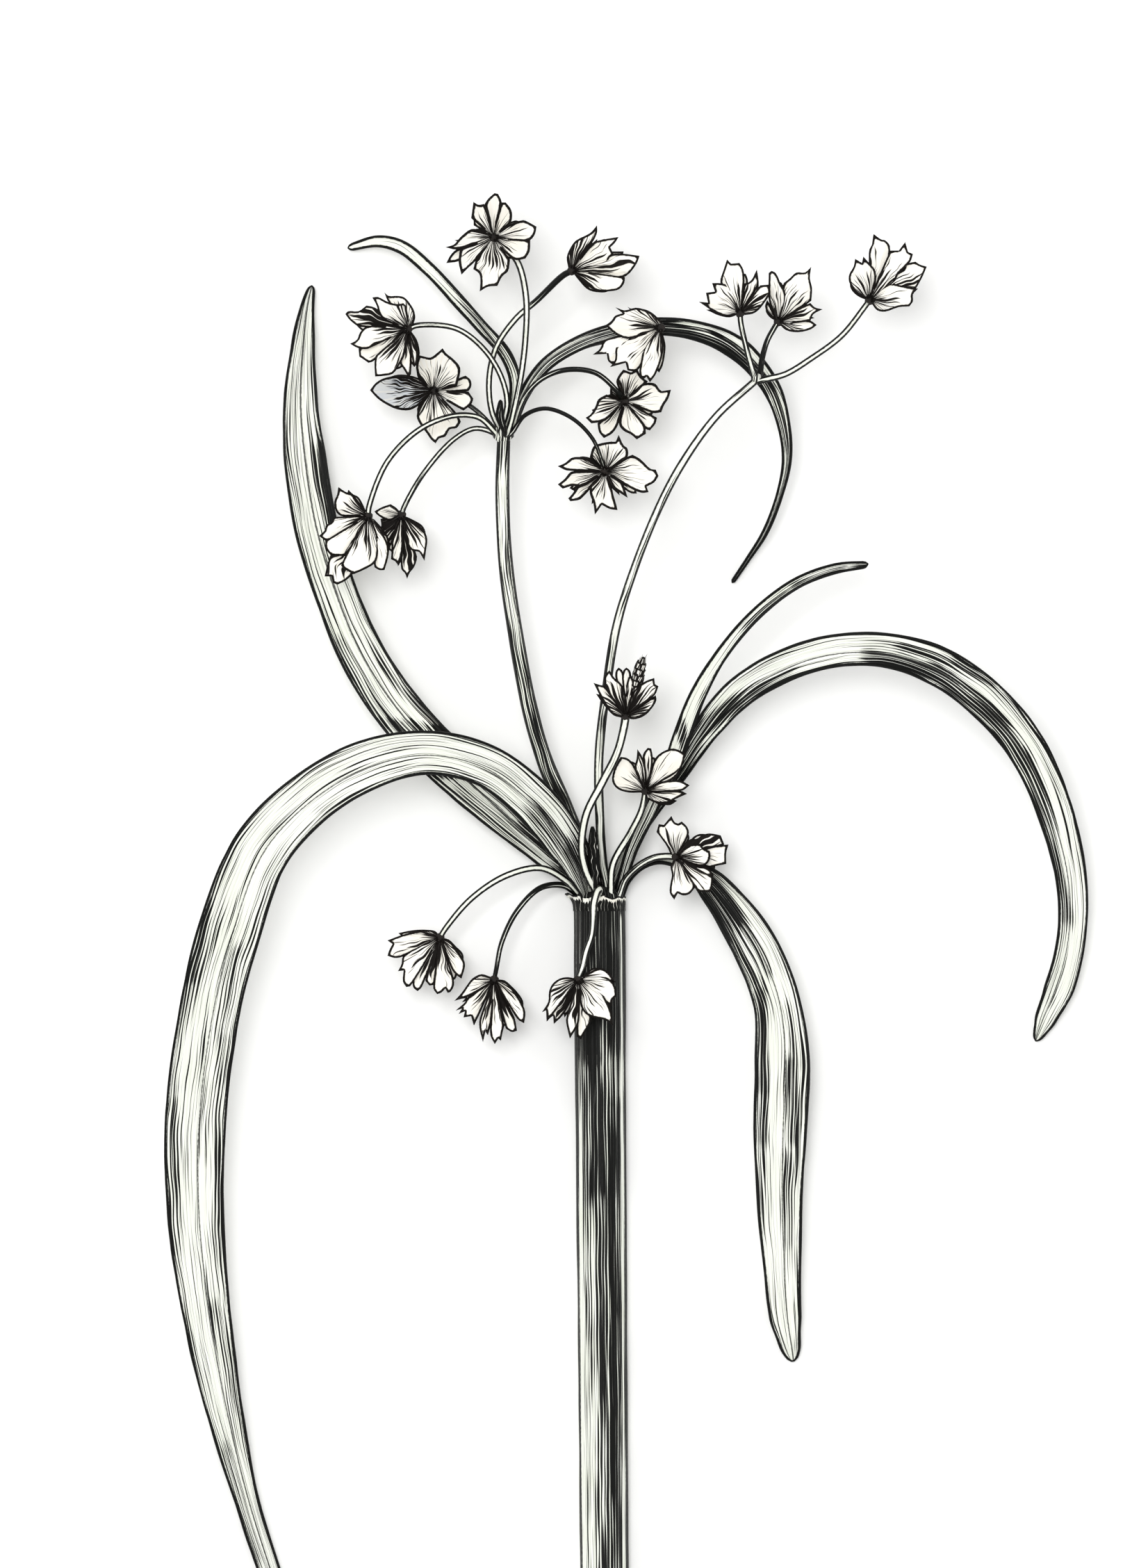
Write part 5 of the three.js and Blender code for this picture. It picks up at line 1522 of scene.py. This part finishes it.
def add_spikelet(bm, centre, direction, material):
    """Adds a closed spikelet: a spindle covered in rows of scales, each of which laps over the next row."""
    side = direction.cross(UP).normalized()
    normal = side.cross(direction).normalized()
    start, end, width = SPIKELET_START, SPIKELET_END, SPIKELET_WIDTH
    row_length = (end - start) / SPIKELET_ROWS
    scale_half = math.pi * width / 2 / SPIKELET_ROUND

    def place(co):
        t = (co.z + 1) / 2
        turn = math.atan2(co.x, co.y)
        row = math.floor(t * SPIKELET_ROWS)
        risen = t * SPIKELET_ROWS - row
        round_it = turn / (2 * math.pi) * SPIKELET_ROUND + 0.5 * (row % 2)
        off = abs(2 * (round_it - math.floor(round_it)) - 1)
        thick = width / 2 * (1 - SPIKELET_TAPER * t)
        thick *= SPIKELET_BODY + SPIKELET_STEP * risen * (1 - off * off)
        ahead = direction * (start + (end - start) * t)
        at = centre + ahead + side * (co.x * thick) + normal * (co.y * thick)
        margin = SPIKELET_MARGIN + min((1 - risen) * row_length, (1 - off) * scale_half)
        return at, (turn * width / 2, 0, t * (end - start)), (margin, FAR, SPIKELET_SHADE)

    add_ball(bm, place, detail=5, material=material)


# A cluster whose scales lean one way by more than this share is a fan, and its small parts spread by fewer
# degrees. Its drawn scales arch, and those of a round one are hollow.
FAN_LEAN = 0.55
FAN_SPREAD = 55
ROUND_SPREAD = 150
FAN_CUP = -0.9
ROUND_CUP = 1.0
TONE_LUCK = 0.08

# A scale behind each drawn one: smaller, turned a little, and hanging lower in three steps.
BACK_TURNS = (-9, 9)
BACK_SIZE = 0.8
BACK_LIFT = -14
BACK_LIFT_STEP = 9
BACK_CUP = -0.8
BACK_TONE = 0.12

# Small scales that stand up inside, one for each step of the spread, with corners like the drawn ones'.
INNER_CORNERS = [4, 4, 9, 5, 13, 0, 9, -5, 4, -4]
INNER_STEPS = (-1, 0, 1)
INNER_TURN = 12
INNER_SIZES = (0.5, 0.7)
INNER_LIFTS = (52, 64)
INNER_CUP = 0.8

# Seeds of a cluster's scales, of those behind them and of those inside.
CLUSTER_SEEDS = 40
BACK_SEED = 20
INNER_SEED = 900

# The dark heart, how high its bumps are in mm and how many there are in its radius, and the bristles that
# stand out of it.
HEART_RADIUS = 0.7
HEART_BUMPS = 0.15
HEART_BUMPS_IN_RADIUS = 3
BRISTLES = 7
BRISTLE_TURN = 1.1
BRISTLE_LIFTS = (28, 60)
BRISTLE_LENGTHS = (2.0, 3.4)


def build_scales(name, number, luck, towards, fan, materials, sizes):
    """Builds a cluster's scales: the drawn ones, one behind each, and three small ones inside."""
    centre, scales = Vector(CLUSTERS[name][0]), CLUSTERS[name][1]
    spread = FAN_SPREAD if fan else ROUND_SPREAD
    cup = FAN_CUP if fan else ROUND_CUP
    bm = new_bmesh()
    for i, (lift, tone, corners) in enumerate(scales):
        seed = number * CLUSTER_SEEDS + i
        tone += luck.uniform(-TONE_LUCK, TONE_LUCK)
        add_scale(bm, centre, scale_edge(corners), lift, cup, tone, seed, int((name, i) == WEATHERED))
        under = scale_edge(corners, luck.choice(BACK_TURNS), BACK_SIZE)
        hang = BACK_LIFT - BACK_LIFT_STEP * (i % 3)
        add_scale(bm, centre, under, hang, BACK_CUP, BACK_TONE, seed + BACK_SEED)
    for i, step in enumerate(INNER_STEPS):
        heading = towards + spread * step + luck.uniform(-INNER_TURN, INNER_TURN)
        small = scale_edge(INNER_CORNERS, heading, luck.uniform(*INNER_SIZES))
        add_scale(bm, centre, small, luck.uniform(*INNER_LIFTS), INNER_CUP, 0.0, INNER_SEED + i)
    finish_piece(name + "_tissue", bm, materials, name, sizes.scale_thickness)


def build_heart(name, number, luck, towards, fan, materials, sizes):
    """Builds a cluster's dark heart with its bristles, and the upright cluster's long spikelet."""
    centre = Vector(CLUSTERS[name][0])
    radius = sizes.bristle_radius / MM
    spread = FAN_SPREAD if fan else ROUND_SPREAD
    bm = new_bmesh()
    for _ in range(BRISTLES):
        heading = towards + spread * luck.uniform(-BRISTLE_TURN, BRISTLE_TURN)
        direction = heading_of(heading, luck.uniform(*BRISTLE_LIFTS))
        add_bristle(bm, centre, direction, luck.uniform(*BRISTLE_LENGTHS), radius)
    if name == SPIKELET_CLUSTER:
        axis = heading_of(SPIKELET_HEADING, SPIKELET_LIFT)
        add_spikelet(bm, centre, axis, 1)
        for _ in range(SPIKELET_BRISTLES):
            heading = SPIKELET_HEADING + luck.uniform(*SPIKELET_BRISTLE_TURNS)
            direction = heading_of(heading, SPIKELET_LIFT + luck.uniform(*SPIKELET_BRISTLE_LIFTS))
            start = centre + axis * luck.uniform(*SPIKELET_BRISTLE_STARTS)
            add_bristle(bm, start, direction, SPIKELET_BRISTLE_LENGTH, radius)

    def core(co):
        bumps = HEART_BUMPS * noise.noise(co * HEART_BUMPS_IN_RADIUS + Vector((number, 0, 0)))
        return centre + co * (HEART_RADIUS + bumps), tuple(co), (FAR, FAR, 1)

    add_ball(bm, core, detail=2)
    finish_piece(name + "_heart", bm, materials)


class BULRUSH_OT_clusters(bpy.types.Operator):
    """Builds the spikelet clusters: papery scales in layers round a dark bristly heart"""

    bl_idname = "bulrush.clusters"
    bl_label = "Spikelet clusters"

    def execute(self, context):
        sizes, colours = context.scene.bulrush_sizes, context.scene.bulrush_colours
        # Scale: a dry papery leaflet with brown veins that spread from its base, and a brown margin. It
        # looks pale, matt and stiff. Its veins are drawn 0.48 mm apart, which is coarser than in life, to
        # show.
        paper = fibrous(
            "papery_spikelet_scale", colours.scale_light, colours.scale_deep, colours.scale_vein,
            gap=0.48, run=5.0, chance=1.0, sway=1.15, bands=0.2, vein_gap=0.6, rim=0.34,
            roughness=0.68, relief=0.035,
        )
        # Weathered scale: the same leaflet, greyed by sun and rain. It looks blue-grey, dull and streaky.
        weathered = fibrous(
            "weathered_spikelet_scale", colours.weathered, colours.scale_deep, colours.scale_vein,
            gap=0.34, run=3.0, chance=1.0, sway=0.8, bands=0.6, vein_gap=0.6, rim=0.3,
            roughness=0.75, relief=0.05,
        )
        # Heart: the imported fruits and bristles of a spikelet. It looks dark brown, rough and matt.
        heart = spongy(
            "spikelet_heart", colours.core, colours.scale_vein, cell=0.4, roughness=0.8, relief=0.2
        )
        for number, (name, (_, scales)) in enumerate(CLUSTERS.items()):
            luck = random.Random(number)
            leans = (sum(scale_edge(corners), Vector()).normalized() for _, _, corners in scales)
            lean = sum(leans, Vector()) / len(scales)
            towards = math.degrees(math.atan2(lean.y, lean.x))
            fan = lean.length > FAN_LEAN
            build_scales(name, number, luck, towards, fan, [paper, weathered], sizes)
            build_heart(name, number, luck, towards, fan, [heart, paper], sizes)
        return {"FINISHED"}


# The view: its middle and its height on the surface, in mm. The lens is long, as a drawing has no near or
# far, and the camera looks straight down.
VIEW_MIDDLE = (-3.8, 16.5, 8.0)
VIEW_HEIGHT = 225.6
LENS = 500
SENSOR = 36
NEAREST_SEEN = 0.1
FURTHEST_SEEN = 30

# The surface and the light, in metres and watts: each lamp's place, side and power.
FLOOR_HALF = 3.0
FLOOR_CELLS = 8
LAMPS = {
    "overhead": ((-0.3, 0.35, 2.4), 0.9, 27),
    "key": ((-1.2, 1.0, 1.5), 1.2, 6),
    "fill": ((1.5, -0.6, 1.2), 1.8, 4),
}
SKY_STRENGTH = 0.66
WHITE = "#FFFFFF"
CARD_SHADOW = "#FAFAF8"


def add_lamp(name, target):
    """Adds a square area lamp that looks at the target."""
    place, side, power = LAMPS[name]
    light = bpy.data.lights.new(name, "AREA")
    light.shape = "SQUARE"
    light.size = side
    light.energy = power
    light.color = linear(WHITE)[:3]
    lamp = bpy.data.objects.new(name, light)
    lamp.location = place
    lamp.rotation_euler = (Vector(target) - Vector(place)).to_track_quat("-Z", "Y").to_euler()
    bpy.context.scene.collection.objects.link(lamp)


def white_card(colour):
    """The surface's material: smooth white card. It looks matt, with a barely uneven tone."""
    card, tree = new_material("white_card")
    place = add(tree, "TexCoord").outputs["Object"]
    grain = add(tree, "TexNoise", {"Vector": place, "Scale": 25.0, "Detail": 3.0})
    share = add(tree, "MapRange", {"Value": grain, "From Min": 0.3, "From Max": 0.7, "To Max": 0.25})
    tone = add(tree, "Mix", {0: share, 6: colour, 7: linear(CARD_SHADOW)}, data_type="RGBA")
    shader = add(tree, "BsdfPrincipled", {"Base Color": tone.outputs[2], "Roughness": 0.9})
    add(tree, "OutputMaterial", {"Surface": shader})
    return card


class BULRUSH_OT_stage(bpy.types.Operator):
    """Builds the pale surface, the soft light and the camera"""

    bl_idname = "bulrush.stage"
    bl_label = "Stage"

    def execute(self, context):
        scene = context.scene
        bm = bmesh.new()
        bmesh.ops.create_grid(bm, x_segments=FLOOR_CELLS, y_segments=FLOOR_CELLS, size=FLOOR_HALF)
        mesh = bpy.data.meshes.new("surface")
        bm.to_mesh(mesh)
        bm.free()
        mesh.materials.append(white_card(scene.bulrush_colours.floor))
        surface = bpy.data.objects.new("surface", mesh)
        scene.collection.objects.link(surface)

        world = bpy.data.worlds.new("studio")
        world.use_nodes = True
        sky = world.node_tree.nodes["Background"]
        sky.inputs["Color"].default_value = linear(WHITE)
        sky.inputs["Strength"].default_value = SKY_STRENGTH
        scene.world = world
        middle = [v * MM for v in VIEW_MIDDLE]
        for name in LAMPS:
            add_lamp(name, middle)
        scene.view_settings.view_transform = "Standard"

        camera = bpy.data.cameras.new("camera")
        camera.lens = LENS
        camera.sensor_width = SENSOR
        camera.clip_start = NEAREST_SEEN
        camera.clip_end = FURTHEST_SEEN
        eye = bpy.data.objects.new("camera", camera)
        distance = VIEW_HEIGHT * MM * LENS / SENSOR
        eye.location = (middle[0], middle[1], middle[2] + distance)
        scene.collection.objects.link(eye)
        scene.camera = eye
        return {"FINISHED"}


class BULRUSH_PT_sidebar(bpy.types.Panel):
    """Lists the steps, and the sizes and colours that they use"""

    bl_idname = "BULRUSH_PT_sidebar"
    bl_label = "Northeastern bulrush"
    bl_space_type = "VIEW_3D"
    bl_region_type = "UI"
    bl_category = "Bulrush"

    def draw(self, context):
        for operator in OPERATORS:
            self.layout.operator(operator.bl_idname)
        for group in (context.scene.bulrush_sizes, context.scene.bulrush_colours):
            for setting in group.__annotations__:
                self.layout.prop(group, setting)


OPERATORS = (BULRUSH_OT_culm, BULRUSH_OT_rays, BULRUSH_OT_bracts, BULRUSH_OT_clusters, BULRUSH_OT_stage)
CLASSES = (BulrushSizes, BulrushColours, *OPERATORS, BULRUSH_PT_sidebar)


def register():
    """Registers the classes, and gives the scene its settings."""
    for made in CLASSES:
        bpy.utils.register_class(made)
    bpy.types.Scene.bulrush_sizes = bpy.props.PointerProperty(type=BulrushSizes)
    bpy.types.Scene.bulrush_colours = bpy.props.PointerProperty(type=BulrushColours)


def unregister():
    """Takes the settings and the classes away again."""
    del bpy.types.Scene.bulrush_colours
    del bpy.types.Scene.bulrush_sizes
    for made in reversed(CLASSES):
        bpy.utils.unregister_class(made)


def main():
    """Builds everything."""
    register()
    bpy.ops.bulrush.culm()
    bpy.ops.bulrush.rays()
    bpy.ops.bulrush.bracts()
    bpy.ops.bulrush.clusters()
    bpy.ops.bulrush.stage()


if __name__ == "__main__":
    main()
